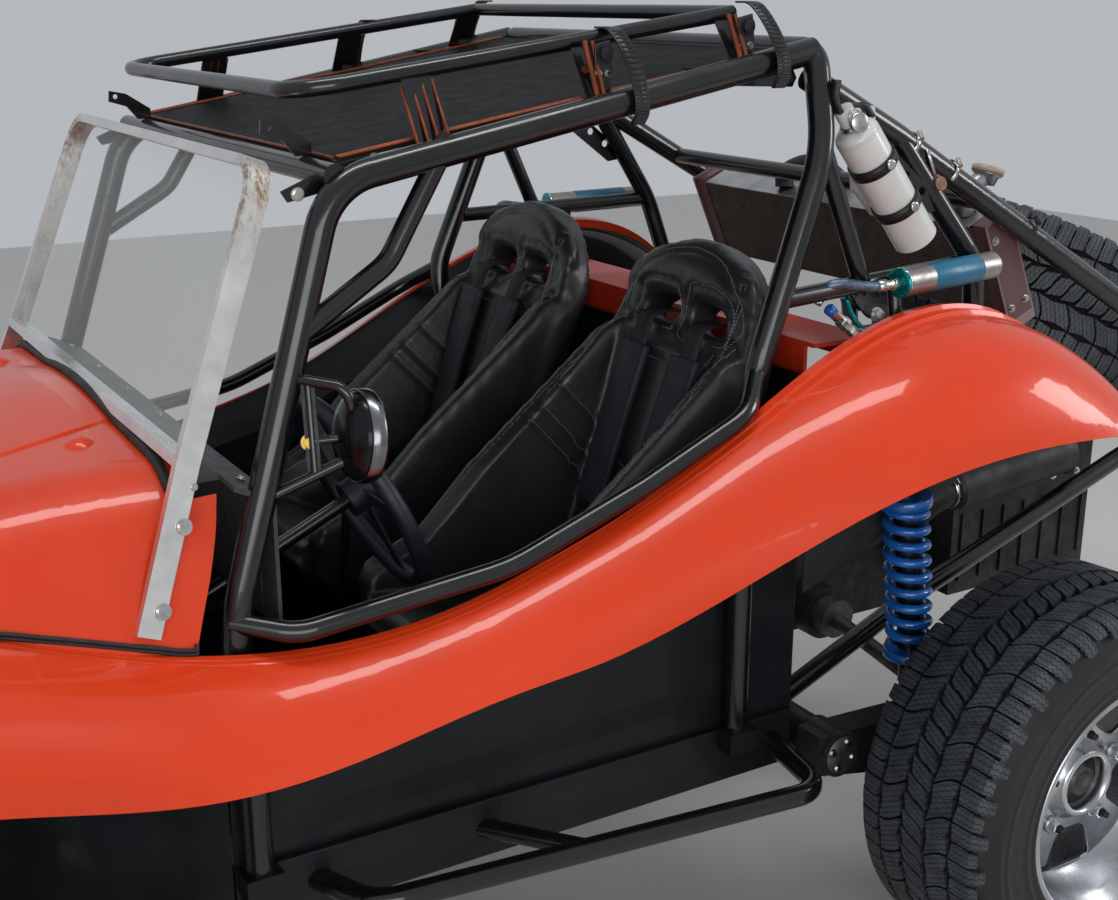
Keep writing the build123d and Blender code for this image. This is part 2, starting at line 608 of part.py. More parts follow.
def knuckle(side):
    """Knuckle on its kingpin, with the spindle flange for the wheel and the arm for the tie rod."""
    y = side * KINGPIN_Y
    centre_z = FRONT_TYRE_RADIUS
    body = rod((FRONT_AXLE_X, y, BOSS_LOW_Z + 16 + FIT), (FRONT_AXLE_X, y, BOSS_HIGH_Z - 16 - FIT), 22)
    spindle = rod((FRONT_AXLE_X, y, centre_z), (FRONT_AXLE_X, side * (WHEEL_FACE - FIT), centre_z), 20)
    flange = rod((FRONT_AXLE_X, side * (WHEEL_FACE - 12), centre_z),
                 (FRONT_AXLE_X, side * (WHEEL_FACE - FIT), centre_z), 60)
    arm = bent_tube([(FRONT_AXLE_X, y, 430), (FRONT_AXLE_X - 60, y, 440),
                     (FRONT_AXLE_X - STEERING_ARM, y, TIE_ROD_Z - 32)], 11, [30])
    eye = rod((FRONT_AXLE_X - STEERING_ARM, y, TIE_ROD_Z - 36), (FRONT_AXLE_X - STEERING_ARM, y, TIE_ROD_Z - 17), 15)
    return body + spindle + flange + arm + eye


def tie_rod():
    x = FRONT_AXLE_X - STEERING_ARM
    bar = rod((x, -KINGPIN_Y, TIE_ROD_Z), (x, KINGPIN_Y, TIE_ROD_Z), 10)
    for side in (1, -1):
        bar += rod((x, side * KINGPIN_Y, TIE_ROD_Z - 16.7), (x, side * KINGPIN_Y, TIE_ROD_Z + 14), 15)
    return bar


def tyre(side, x, y, radius, width, bead):
    """Tyre with plain sidewalls and a tread cut by two grooves all round."""
    half, shoulder = width / 2, 28
    groove, deep = 10, 9
    profile = [(y - half + 12, bead), (y - half, radius - 85), (y - half + 6, radius - shoulder),
               (y - half + shoulder, radius)]
    for middle in (-width / 6, width / 6):
        profile += [(y + middle - groove, radius), (y + middle - groove, radius - deep),
                    (y + middle + groove, radius - deep), (y + middle + groove, radius)]
    profile += [(y + half - shoulder, radius), (y + half - 6, radius - shoulder),
                (y + half, radius - 85), (y + half - 12, bead)]
    return turned([(side * a, r) for a, r in profile], (x, radius))


def rim(side, x, y, radius, width, spokes):
    """Dished alloy wheel: barrel, a face with windows, and the hub drum behind it."""
    half = width / 2
    outer, inner = RIM_RADIUS - FIT, RIM_RADIUS - RIM_WALL
    face_y = y + half - 95
    barrel = [(y - half + 14, outer), (y + half - 14, outer), (y + half - 14, inner), (face_y + 6, inner),
              (face_y + 6, 75), (face_y + 30, 60), (face_y + 30, 30), (WHEEL_FACE, 30), (WHEEL_FACE, 75),
              (face_y - 10, 75), (face_y - 10, inner), (y - half + 14, inner)]
    wheel = turned([(side * a, r) for a, r in barrel], (x, radius))
    hub = rod((x, side * WHEEL_FACE, radius), (x, side * (face_y + 20), radius), 31)
    wheel += hub
    axle = Plane(origin=(x, 0, radius), x_dir=(1, 0, 0), z_dir=(0, 1, 0))
    for index in range(spokes):
        window = make_face(FilletPolyline((-32, 95), (32, 95), (52, 172), (-52, 172), radius=14, close=True))
        turn = Rot(0, 0, 360 / spokes * index)
        cutter = extrude(axle * (turn * window), amount=side * (y + half), dir=(0, 1, 0))
        wheel -= cutter
    return wheel


# Rear suspension: the torsion tube behind the tub carries the trailing arms
TORSION_TUBE = 38
TORSION_X = TUB_REAR_X - TORSION_TUBE - FIT
TORSION_Z = 430
HUB_Z = REAR_TYRE_RADIUS
INNER_FLANGE_Y = 170
INNER_FLANGE_Z = 455
ARM_INNER_Y = 577
COIL_LOW = (-580, 625, 480.2)
COIL_HIGH = (-525, 605, 1085)
COIL_EYE = 20


def trailing_arms():
    """Torsion tube across the back of the tub, and a boxed arm to each rear hub."""
    tube = rod((TORSION_X, -575, TORSION_Z), (TORSION_X, 575, TORSION_Z), TORSION_TUBE)
    outline = [(TORSION_X + 45, 470), (TORSION_X + 45, 392), (-640, 330), (-830, 330), (-830, 425), (-690, 455)]
    for piece in both(side_plate(outline, ARM_INNER_Y, 640)):
        tube += piece
    for side in (1, -1):
        tube += rod((TORSION_X, side * 570, TORSION_Z), (TORSION_X, side * 650, TORSION_Z), 45)
        tube += rod((REAR_AXLE_X, side * 590, HUB_Z), (REAR_AXLE_X, side * (WHEEL_FACE - FIT), HUB_Z), 62)
    return tube


def coil_spring():
    """Coil spring drawn as its turns stacked on each other round the shock absorber."""
    turns, pitch, wire = 10, 30, 9
    profile = [(22.5, 0)]
    for turn in range(turns):
        profile += [(36, turn * pitch), (45, turn * pitch + wire), (45, turn * pitch + wire * 2),
                    (36, turn * pitch + wire * 3)]
    profile += [(22.5, turns * pitch)]
    axis = Vector(*COIL_HIGH) - Vector(*COIL_LOW)
    start = Vector(*COIL_LOW) + axis.normalized() * 110
    face = make_face(Polyline(*[(r, 0, z) for r, z in profile], close=True))
    spring = revolve(face, axis=Axis.Z)
    return both(Plane(origin=start, z_dir=axis) * spring)


def shock_absorber():
    axis = (Vector(*COIL_HIGH) - Vector(*COIL_LOW)).normalized()
    low, high = Vector(*COIL_LOW), Vector(*COIL_HIGH)
    shock = rod(low, high, 22)
    for middle, length in ((low + axis * 100, 8), (low + axis * 410.3, 8)):
        shock += rod(middle, (middle + axis * length), 48)
    for centre in (low, high):
        shock += rod((centre.X, centre.Y - 18, centre.Z), (centre.X, centre.Y + 18, centre.Z), COIL_EYE)
    return both(shock)


def drive_shafts():
    """Shafts from the transaxle's flanges to the hubs, with a joint at each end."""
    ends = ((INNER_FLANGE_Y + FIT, INNER_FLANGE_Z), (ARM_INNER_Y - FIT - 40, HUB_Z + 8))
    shaft = rod((REAR_AXLE_X, ends[0][0] + 20, ends[0][1]), (REAR_AXLE_X, ends[1][0] + 20, ends[1][1]), 17)
    for y, z in ends:
        shaft += rod((REAR_AXLE_X, y, z), (REAR_AXLE_X, y + 40, z), 44)
    return both(shaft)


def engine_block():
    return block((-1480, -260, 470), (-1040, 260, 815))


def transaxle():
    case = block((-1039.7, -110, 400), (-560, 110, 600))
    case += rod((REAR_AXLE_X, -INNER_FLANGE_Y, INNER_FLANGE_Z), (REAR_AXLE_X, INNER_FLANGE_Y, INNER_FLANGE_Z), 60)
    case += rod((-560, 0, 470), (TORSION_X - TORSION_TUBE - FIT, 0, 470), 70)
    return case


def muffler():
    can = rod((-840, 440, 812), (-1160, 440, 842), 46)
    pipe = bent_tube([(-1192, 260 + FIT, 797), (-1192, 440, 797), (-1120, 440, 838)], 17, [25])
    return can + pipe


RADIATOR_HALF_WIDTH = STAY_Y - CAGE_TUBE - 0.5
RADIATOR_TOP = (-870, 1352)
RADIATOR_LOW = (-950, 1172)


def radiator():
    """Finned core across the back, its top leaning forward, with a tank along each end."""
    top, low = Vector(RADIATOR_TOP[0], 0, RADIATOR_TOP[1]), Vector(RADIATOR_LOW[0], 0, RADIATOR_LOW[1])
    up = (top - low).normalized()
    plane = Plane(origin=low, x_dir=(0, 1, 0), z_dir=(up.Z, 0, -up.X))
    height = (top - low).length
    core = plane * Pos(0, height / 2, 0) * Box(2 * RADIATOR_HALF_WIDTH - 60, height, 50)
    for side in (1, -1):
        core += plane * Pos(side * (RADIATOR_HALF_WIDTH - 20), height / 2, 0) * Box(40, height + 16, 62)
    neck = rod((RADIATOR_TOP[0] - 8, 380, RADIATOR_TOP[1] - 10), (RADIATOR_TOP[0], 380, RADIATOR_TOP[1] + 40), 22)
    return core + neck


def shock_reservoirs():
    can = rod((-498, TUB_HALF_WIDTH + 66.3, 1293), (-745, TUB_HALF_WIDTH + 40.5, 1299), 25)
    return both(can)


EXTINGUISHER_LOW = (-562, STAY_Y + 70, 1362)
EXTINGUISHER_HIGH = (-412, STAY_Y + 70, 1548)


def fire_extinguisher():
    """Bottle strapped to a plate on the left stay, with its head at the top."""
    low, high = Vector(*EXTINGUISHER_LOW), Vector(*EXTINGUISHER_HIGH)
    axis = (high - low).normalized()
    bottle = rod(low, high, 39) + rod(high - axis * 20, high + axis * 55, 17)
    for share in (0.3, 0.7):
        strap = low + (high - low) * share
        bottle += rod(strap, strap + axis * 19, 42)
    plate = [(-500, 1400), (-450, 1450), (-430, 1590), (-485, 1590)]
    return bottle + side_plate(plate, STAY_Y + 18, STAY_Y + 31)


def side_bar():
    """Tube along the rocker box that keeps wheels and rocks off the body, with one strut."""
    z = FLOOR_Z + ROCKER_HEIGHT / 2
    side = TUB_HALF_WIDTH
    points = [(-300, side, z), (-262, side + 205, z), (560, side + 140, z + 15), (605, side, z)]
    bar = bent_tube(points, 19, [60, 60]) + rod((315, side, z), (190, side + 172, z + 6), 16)
    return bar - block((-400, 0, 0), (700, side, 900))


BUMPER_TUBE = 19


def front_bumper():
    """Lower tube with an upper hoop, on two arms from the axle beam."""
    x = FRONT_END - BUMPER_TUBE
    bumper = bent_tube([(1700, 470, 520), (x, 380, 520), (x, -380, 520), (1700, -470, 520)], BUMPER_TUBE, [80, 80])
    bumper += bent_tube([(x, 240, 520), (x - 12, 240, 720), (x - 12, -240, 720), (x, -240, 520)], LIGHT_TUBE, [60, 60])
    for side in (1, -1):
        bumper += rod((BEAM_X + BEAM_TUBE + FIT, side * 240, BEAM_HIGH_Z), (x, side * 240, 520), LIGHT_TUBE)
        bumper += rod((x - 12, side * 180, 720), (x - 45, side * 330, 905), 10)
    return bumper


def headlamps():
    lamp = rod((FRONT_END - 130, 345, 962), (FRONT_END - 40, 345, 962), 85)
    return both(lamp)


def tail_lamps():
    radius = 42
    y = STAY_Y + CAGE_TUBE + radius + 0.4
    return both(rod((-1440, y, 1030), (-1475, y, 1030), radius))


# Rear frame: lower tubes from the torsion tube up to the stays, and the spare wheel's carrier
SPARE_TILT = 28
SPARE_CENTRE = (REAR_END + 470, 1060)
CARRIER_X = REAR_END + 551


def rear_frame():
    frame_side = bent_tube([(-428, 430, 450), (-747, 450, 605), (REAR_END + 595, 455, 807),
                            (REAR_END + 285, STAY_Y - 10, 930)], 20, [300, 600])
    tail = rod(flip(STAY_END), STAY_END, CAGE_TUBE)
    leg = [(CARRIER_X, STAY_Y, 1062), (CARRIER_X, STAY_Y - 20, 896)]
    carrier = bent_tube(leg + [flip(p) for p in reversed(leg)], CAGE_TUBE, [40, 40])
    return both(frame_side) + [tail, carrier]


def spare_plane():
    tilt = radians(SPARE_TILT)
    return Plane(origin=(SPARE_CENTRE[0], 0, SPARE_CENTRE[1]), x_dir=(0, 1, 0), z_dir=(-sin(tilt), 0, cos(tilt)))


def spare(shape):
    """A wheel piece made at the rear left, laid on the spare carrier."""
    home = Plane(origin=(REAR_AXLE_X, REAR_TYRE_Y, REAR_TYRE_RADIUS), x_dir=(1, 0, 0), z_dir=(0, 1, 0))
    return spare_plane().location * home.location.inverse() * shape


def foot_controls():
    pieces = []
    for y in (130, 190, 250):
        pedal = bent_tube([(TUB_FRONT_X - PLATE - FIT, y, 715), (1055, y, 715), (1020, y, 560), (995, y, 510)],
                          7, [30, 60])
        pedal += block((985, y - 24, 470), (1003, y + 24, 540))
        pieces.append(pedal)
    lever = rod((330, 0, FLOOR_Z + 130 + FIT), (300, 0, 860), 8) + Pos(300, 0, 870) * Sphere(22)
    return pieces + [lever]


def side_mirror():
    """Mirror on a D-shaped tube bracket on the driver's pillar."""
    side = TUB_HALF_WIDTH
    bracket = bent_tube([(606, side + 7, 1253), (545, side + 72, 1245), (520, side + 76, 1150),
                         (662, side + 20, 1080)], 8, [25, 25])
    bar = rod((585, side + 29, 1251), (588, side + 50, 1116), 6)
    arm = rod((586, side + 42, 1165), (512, side + 60, 1167), 6)
    return bracket + bar + arm + rod((525, side + 60, 1168), (507, side + 60.5, 1166), 65)


def dash_panel():
    """Dash below the windshield, with a return down to the knees."""
    top, rear, wide = DASH_TOP - FIT, HOOD_REAR_X - FIT, TUB_HALF_WIDTH + 26
    outline = [(640, top - 26), (700, top), (rear, top), (rear, top - 8), (702, top - 8), (652, top - 34),
               (646, 880), (640, 880)]
    middle = side_plate(outline, 66 - wide, wide - 66)
    ends = side_plate([(640, top - 26), (700, top), (700, top - 8), (646, top - 34), (646, 880),
                       (640, 880)], -wide, wide)
    return middle + ends - column_hole()


def cope(shape, *others):
    """The shape with its ends cut to seat on other tubes."""
    for other in others:
        shape = shape - other
    return shape


def biggest(shape):
    """The main solid of a shape, without the offcuts that coping leaves inside a tube."""
    return max(shape.solids(), key=lambda s: s.volume)


def main():
    shells = [loft([body_section(side, *row) for row in BODY_STATIONS]) for side in (1, -1)]
    save("body_shell", *shells)
    save("rear_bulkhead", rear_bulkhead())
    cover = biggest(cope(hood(), *shells))
    save("hood", cover)
    save("windshield_frame", biggest(cope(windshield_frame(), cover)))
    save("windshield_glass", windshield_glass())
    save("floor_pan", floor_pan())
    hoop = main_hoop()
    front = both(biggest(cope(front_hoop(), hoop)))
    save("cage_main_hoop", hoop)
    save("cage_front_hoops", *front)
    save("cage_door_rails", *both(biggest(cope(door_rail(), hoop, front[0]))))
    stays = both(biggest(cope(rear_stay(), hoop)))
    save("cage_stays", *stays)
    save("cage_shelf_tubes", *both(biggest(cope(shelf_tubes(), hoop, stays[0]))))
    bar = biggest(cope(cross_tube(ROOF_BAR, CROSS_RADIUS), *front))
    back = biggest(cope(cross_tube(STAY_BAR, CROSS_RADIUS), *stays))
    save("cage_cross_tubes", bar, back)
    save("roof_panel", roof_panel())
    rack = roof_rack()
    save("roof_rack", rack)
    save("rack_brackets", *[biggest(cope(b, rack, *front)) for b in rack_brackets()])
    save("seats", *both(seat()))
    belts = harness()
    save("harnesses", *belts, *[mirror(b, about=Plane.XZ) for b in belts])
    save("steering_column", steering_column())
    save("steering_wheel", steering_wheel())
    save("front_beam", front_beam())
    save("front_shocks", *front_shocks())
    save("tie_rod", tie_rod())
    for name, side in (("left", 1), ("right", -1)):
        save(f"knuckle_{name}", knuckle(side))
        save(f"tyre_front_{name}", tyre(side, FRONT_AXLE_X, FRONT_TYRE_Y, FRONT_TYRE_RADIUS, FRONT_TYRE_WIDTH, RIM_RADIUS))
        save(f"rim_front_{name}", rim(side, FRONT_AXLE_X, FRONT_TYRE_Y, FRONT_TYRE_RADIUS, FRONT_TYRE_WIDTH, 5))
        rear_tyre = tyre(side, REAR_AXLE_X, REAR_TYRE_Y, REAR_TYRE_RADIUS, REAR_TYRE_WIDTH, RIM_RADIUS)
        rear_rim = rim(side, REAR_AXLE_X, REAR_TYRE_Y, REAR_TYRE_RADIUS, REAR_TYRE_WIDTH, 5)
        save(f"tyre_rear_{name}", rear_tyre)
        save(f"rim_rear_{name}", rear_rim)
        if side == 1:
            save("spare_tyre", spare(rear_tyre))
            save("spare_rim", spare(rear_rim))
    save("trailing_arms", trailing_arms())
    save("coil_springs", *coil_spring())
    save("shock_absorbers", *shock_absorber())
    save("drive_shafts", *drive_shafts())
    save("engine_block", engine_block())
    save("transaxle", transaxle())
    save("muffler", muffler())
    save("radiator", radiator())
    save("shock_reservoirs", *shock_reservoirs())
    save("fire_extinguisher", biggest(cope(fire_extinguisher(), *stays)))
    save("side_bars", *both(side_bar()))
    lamps = headlamps()
    save("front_bumper", biggest(cope(front_bumper(), *lamps)))
    save("headlamps", *lamps)
    save("tail_lamps", *tail_lamps())
    save("rear_frame", *[cope(p, *stays) for p in rear_frame()])
    save("foot_controls", *foot_controls())
    save("side_mirror", biggest(cope(side_mirror(), *front)))
    save("dash_panel", biggest(cope(dash_panel(), *front)))
    save("side_panels", *side_panels(front + [hoop], shells))
    save("seat_mounts", *both(seat_mount()))


main()
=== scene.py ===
"""Looks of the dune buggy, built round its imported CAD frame.

Metres, in the CAD's own frame: +X is forward, +Y is the driver's side, +Z is up, and the ground
is at zero.
"""
from math import cos, pi, radians, sin, tau

import bmesh
import bpy
from mathutils import Matrix, Vector
from mathutils.bvhtree import BVHTree
from mathutils.kdtree import KDTree


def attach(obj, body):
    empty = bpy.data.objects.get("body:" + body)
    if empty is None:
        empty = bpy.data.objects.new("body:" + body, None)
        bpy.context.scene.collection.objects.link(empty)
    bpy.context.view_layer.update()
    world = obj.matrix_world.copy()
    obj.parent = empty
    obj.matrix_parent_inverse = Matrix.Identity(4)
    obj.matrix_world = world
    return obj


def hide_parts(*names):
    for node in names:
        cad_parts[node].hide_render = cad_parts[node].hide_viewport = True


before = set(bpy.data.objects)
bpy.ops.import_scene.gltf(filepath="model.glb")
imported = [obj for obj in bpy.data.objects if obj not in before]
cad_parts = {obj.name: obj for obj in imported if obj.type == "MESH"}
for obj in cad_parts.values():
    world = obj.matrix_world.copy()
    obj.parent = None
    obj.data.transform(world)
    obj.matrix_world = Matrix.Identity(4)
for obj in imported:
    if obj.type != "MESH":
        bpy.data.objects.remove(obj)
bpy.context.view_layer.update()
scene = bpy.context.scene
scene.view_settings.view_transform = "Standard"
SIDES = ((1, "left"), (-1, "right"))


# Camera, floor and lamps
# A plain pale studio. The camera stands to the driver's side of the nose, at a standing person's
# eye height, and looks back and down over the hood into the cockpit.
CAMERA_PLACE = (1.325, 2.5, 1.767)
CAMERA_HEADING = 30.86
CAMERA_PITCH = 16.89
CAMERA_LENS = 47.9
SENSOR_WIDTH = 36
PHOTO_SIZE = (1118, 900)
FLOOR_HALF = 9


def linear(hex_colour):
    """A sRGB hex colour as the linear red, green, blue and alpha that a shader takes."""
    parts = [int(hex_colour[i:i + 2], 16) / 255 for i in (1, 3, 5)]
    return tuple(c / 12.92 if c <= 0.04045 else ((c + 0.055) / 1.055) ** 2.4 for c in parts) + (1.0,)


def wire(tree, made, inputs):
    """Fills a node's inputs, by name or place: each a value, a socket, or a node's first live output."""
    for name, value in inputs.items():
        if isinstance(value, bpy.types.Node):
            value = next(output for output in value.outputs if output.enabled)
        if isinstance(value, bpy.types.NodeSocket):
            tree.links.new(value, made.inputs[name])
        else:
            made.inputs[name].default_value = value
    return made


def node(tree, kind, inputs=None, **settings):
    """Adds a node with its settings and inputs; a kind without a family is a shader node."""
    made = tree.nodes.new(kind if "Node" in kind else "ShaderNode" + kind)
    for name, value in settings.items():
        setattr(made, name, value)
    return wire(tree, made, inputs or {})


def math(tree, operation, *values):
    return node(tree, "Math", dict(enumerate(values)), operation=operation)


def ramp(tree, value, low=0.0, high=1.0, start=0.0, end=1.0):
    """The value's share of the way from low to high, drawn out from start to end."""
    return node(tree, "MapRange", {"Value": value, "From Min": low, "From Max": high, "To Min": start,
                                   "To Max": end})


def noise(tree, scale, detail=2.0, place=None, rough=0.5, **inputs):
    """Noise, in the object's own space or, without a place, over its whole box."""
    made = node(tree, "TexNoise", {"Scale": scale, "Detail": detail, "Roughness": rough, **inputs})
    return wire(tree, made, {"Vector": place} if place else {})


def bump(tree, height, strength, distance, **inputs):
    return node(tree, "Bump", {"Strength": strength, "Distance": distance, "Height": height, **inputs})


def spot_of(tree):
    """Where on the object a point lies."""
    return node(tree, "TexCoord").outputs["Object"]


def tones(tree, dark, light, share):
    return node(tree, "Mix", {"A": linear(dark), "B": linear(light), "Factor": share}, data_type="RGBA")


def new_material(name, **inputs):
    """A material with one shader: the material, its node tree and the shader."""
    made = bpy.data.materials.new(name)
    made.use_nodes = True
    tree = made.node_tree
    tree.nodes.clear()
    shader = node(tree, "BsdfPrincipled", inputs)
    node(tree, "OutputMaterial", {"Surface": shader})
    return made, tree, shader


def new_object(name, data):
    made = bpy.data.objects.new(name, data)
    scene.collection.objects.link(made)
    return made


camera = new_object("camera", bpy.data.cameras.new("camera"))
camera.data.lens = CAMERA_LENS
camera.data.clip_start = 0.05
camera.location = CAMERA_PLACE
camera.rotation_euler = (radians(90 - CAMERA_PITCH), 0, radians(180 - CAMERA_HEADING))
scene.camera = camera

floor_mesh = bpy.data.meshes.new("floor")
floor_mesh.from_pydata([(x * FLOOR_HALF, y * FLOOR_HALF, 0) for x, y in ((-1, -1), (1, -1), (1, 1), (-1, 1))],
                       [], [(0, 1, 2, 3)])
floor = new_object("floor", floor_mesh)
floor_paint, tree, shader = new_material("pale_floor_paint", Roughness=0.6)
wire(tree, shader, {"Base Color": tones(tree, "#C4C2BD", "#D2D0CB", noise(tree, 6.0, 5.0))})
floor.data.materials.append(floor_paint)

world = bpy.data.worlds.new("studio")
scene.world = world
world.use_nodes = True
wire(world.node_tree, world.node_tree.nodes["Background"], {"Color": linear("#E4E8EE"), "Strength": 0.6})

# name, place, looks at, width, height, watts
LAMPS = [
    ("overhead", (0.3, 0.6, 4.2), (0.0, 0.0, 0.8), 2.6, 0.5, 40),
    ("window", (2.2, 5.0, 1.9), (0.1, 0.3, 0.8), 4.2, 2.2, 98),
    ("fill", (-3.9, 2.4, 2.6), (-0.6, 0.2, 0.7), 1.0, 1.6, 45),
]
for name, place, target, width, height, watts in LAMPS:
    lamp = new_object(name, bpy.data.lights.new(name, "AREA"))
    lamp.data.shape = "RECTANGLE"
    lamp.data.size, lamp.data.size_y = width, height
    lamp.data.energy = watts
    lamp.location = place
    lamp.rotation_euler = (Vector(target) - Vector(place)).to_track_quat("-Z", "Y").to_euler()


# Body mouldings, hood and rear deck
# Hand-laid glass-fibre with an orange-red gel coat: glossy outside, rough black resin underneath.
# The hood is bolted between the side mouldings over a folded black welt.
def finish(name, dark, light, patch_mm, rough, spread=0.06, metallic=0.0, coat=0.0, grain_mm=0.0,
           grain_depth=0.1):
    """A finish of two tones in patches, uneven gloss and, where it has one, a grain of a real size."""
    made, tree, shader = new_material(name, Metallic=metallic)
    place = spot_of(tree)
    patch = ramp(tree, noise(tree, 1000 / patch_mm, 6.0, place, 0.62), 0.35, 0.68)
    gloss = ramp(tree, noise(tree, 3200 / patch_mm, 4.0, place), 0.3, 0.7, rough - spread, rough + spread)
    wire(tree, shader, {"Base Color": tones(tree, dark, light, patch), "Roughness": gloss,
                        "Coat Weight": coat, "Coat Roughness": 0.06})
    if grain_mm:
        grain = noise(tree, 1000 / grain_mm, 2.0, place)
        wire(tree, shader, {"Normal": bump(tree, grain, grain_depth, 0.001)})
    return made


def above(tree, value, level, soft=0.004):
    """A mask that is one where a value passes a level."""
    return ramp(tree, value, level - soft, level + soft)


def shader_of(material):
    return next(n for n in material.node_tree.nodes if n.type == "BSDF_PRINCIPLED")


def dull(material, level):
    """Sets how strongly a finish mirrors what is round it, under its coat."""
    shader_of(material).inputs["Specular IOR Level"].default_value = level


def overlay(material, mask, colour, rough):
    """Lays a second colour and gloss over a finish where the mask is one."""
    tree, shader = material.node_tree, shader_of(material)
    for socket, value, kind in (("Base Color", linear(colour), "RGBA"), ("Roughness", rough, "FLOAT")):
        under = shader.inputs[socket].links[0].from_socket
        mixed = node(tree, "Mix", {"A": under, "B": value, "Factor": mask}, data_type=kind)
        wire(tree, shader, {socket: mixed})


def finish_nodes(material, *names):
    """Gives CAD nodes their material."""
    for name in names:
        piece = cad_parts[name]
        piece.data.materials.clear()
        piece.data.materials.append(material)


# Gel coat: polished polyester resin with a faint orange peel of 4 mm
gel_coat = finish("orange_gel_coat", "#D03812", "#DE4016", 700, 0.34, 0.05, coat=0.5, grain_mm=4,
                  grain_depth=0.015)
dull(gel_coat, 0.2)
tree = gel_coat.node_tree
facing = node(tree, "SeparateXYZ", {"Vector": node(tree, "NewGeometry").outputs["Normal"]})
inside = math(tree, "SUBTRACT", 1.0, above(tree, facing.outputs[2], -0.35, 0.1))
overlay(gel_coat, inside, "#191817", 0.7)
finish_nodes(gel_coat, "body_shell", "hood")

# Rear deck: the same gel coat, brushed over in satin black below the deck's front edge
DECK_EDGE = 1.135
deck_coat = finish("deck_gel_coat", "#BE3012", "#CC3716", 500, 0.34, 0.05, coat=0.2)
tree = deck_coat.node_tree
place = node(tree, "SeparateXYZ", {"Vector": spot_of(tree)})
overlay(deck_coat, math(tree, "SUBTRACT", 1.0, above(tree, place.outputs[2], DECK_EDGE)), "#151516", 0.5)
finish_nodes(deck_coat, "rear_bulkhead")


def skin_of(mesh):
    """A search tree over a mesh, which lies where it is drawn."""
    shape = bmesh.new()
    shape.from_mesh(mesh)
    found = BVHTree.FromBMesh(shape)
    shape.free()
    return found


def seen(name, px, py):
    """Where the camera's ray through a pixel of the photograph meets a CAD node, and its facing there."""
    reach = CAMERA_LENS / SENSOR_WIDTH * PHOTO_SIZE[0]
    ray = Vector(((px - PHOTO_SIZE[0] / 2) / reach, (PHOTO_SIZE[1] / 2 - py) / reach, -1))
    ray.rotate(camera.rotation_euler)
    place, facing, _, _ = skin_of(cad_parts[name].data).ray_cast(Vector(CAMERA_PLACE), ray)
    return place, facing


def smooth_path(points, steps):
    """More points on the smooth curve through the given ones."""
    points = [Vector(p) for p in points]
    ends = [points[0] * 2 - points[1]] + points + [points[-1] * 2 - points[-2]]
    path = []
    for a, b, c, d in zip(ends, ends[1:], ends[2:], ends[3:]):
        for i in range(steps):
            t = i / steps
            path.append(0.5 * (2 * b + (c - a) * t + (2 * a - 5 * b + 4 * c - d) * t * t
                               + (3 * b - a - 3 * c + d) * t ** 3))
    return path + [points[-1]]


def to_mesh(piece):
    """Turns an object's evaluated shape into its plain mesh, and clears its modifiers."""
    evaluated = piece.evaluated_get(bpy.context.evaluated_depsgraph_get())
    mesh = bpy.data.meshes.new_from_object(evaluated)
    if piece.type == "CURVE":
        bpy.data.objects.remove(piece)
        return new_object("part", mesh)
    piece.modifiers.clear()
    piece.data = mesh
    return piece


def modify(piece, kind, **settings):
    """Runs one modifier on a piece and keeps its result as plain mesh."""
    step = piece.modifiers.new("step", kind)
    for name, value in settings.items():
        setattr(step, name, value)
    return to_mesh(piece)


def shade_smooth(piece):
    for face in piece.data.polygons:
        face.use_smooth = True
    return piece


def tube(points, radius, material, sides, closed=False):
    """A round tube through points, closed at its ends."""
    line = bpy.data.curves.new("line", "CURVE")
    line.dimensions = "3D"
    line.bevel_depth = radius
    line.bevel_resolution = max(1, sides // 4)
    line.use_fill_caps = not closed
    spline = line.splines.new("POLY")
    spline.points.add(len(points) - 1)
    for target, source in zip(spline.points, points):
        target.co = (*source, 1)
    spline.use_cyclic_u = closed
    piece = to_mesh(new_object("part", line))
    piece.data.materials.clear()
    piece.data.materials.append(material)
    return shade_smooth(piece)


def solid(verts, faces, material, smooth=False, bevel=0.0):
    """A mesh piece from its points and faces, facing outwards, its edges eased by a bevel."""
    mesh = bpy.data.meshes.new("part")
    mesh.from_pydata([tuple(v) for v in verts], [], faces)
    shape = bmesh.new()
    shape.from_mesh(mesh)
    bmesh.ops.remove_doubles(shape, verts=shape.verts, dist=1e-6)
    bmesh.ops.recalc_face_normals(shape, faces=shape.faces)
    shape.to_mesh(mesh)
    shape.free()
    mesh.materials.append(material)
    piece = new_object("part", mesh)
    if smooth:
        shade_smooth(piece)
    return modify(piece, "BEVEL", width=bevel, segments=2, limit_method="ANGLE") if bevel else piece


def between(loop, other, material, bevel=0.0):
    """A closed piece between two loops of as many points."""
    count = len(loop)
    walls = [(i, (i + 1) % count, count + (i + 1) % count, count + i) for i in range(count)]
    ends = [tuple(range(count)), tuple(range(2 * count - 1, count - 1, -1))]
    return solid(loop + other, ends + walls, material, bevel=bevel)


def slab(outline, thickness, material, bevel=0.0):
    """A plate from an outline of points in one plane, thickened both ways from it."""
    outline = [Vector(p) for p in outline]
    facing = (outline[1] - outline[0]).cross(outline[2] - outline[1]).normalized() * thickness / 2
    return between([p + facing for p in outline], [p - facing for p in outline], material, bevel)


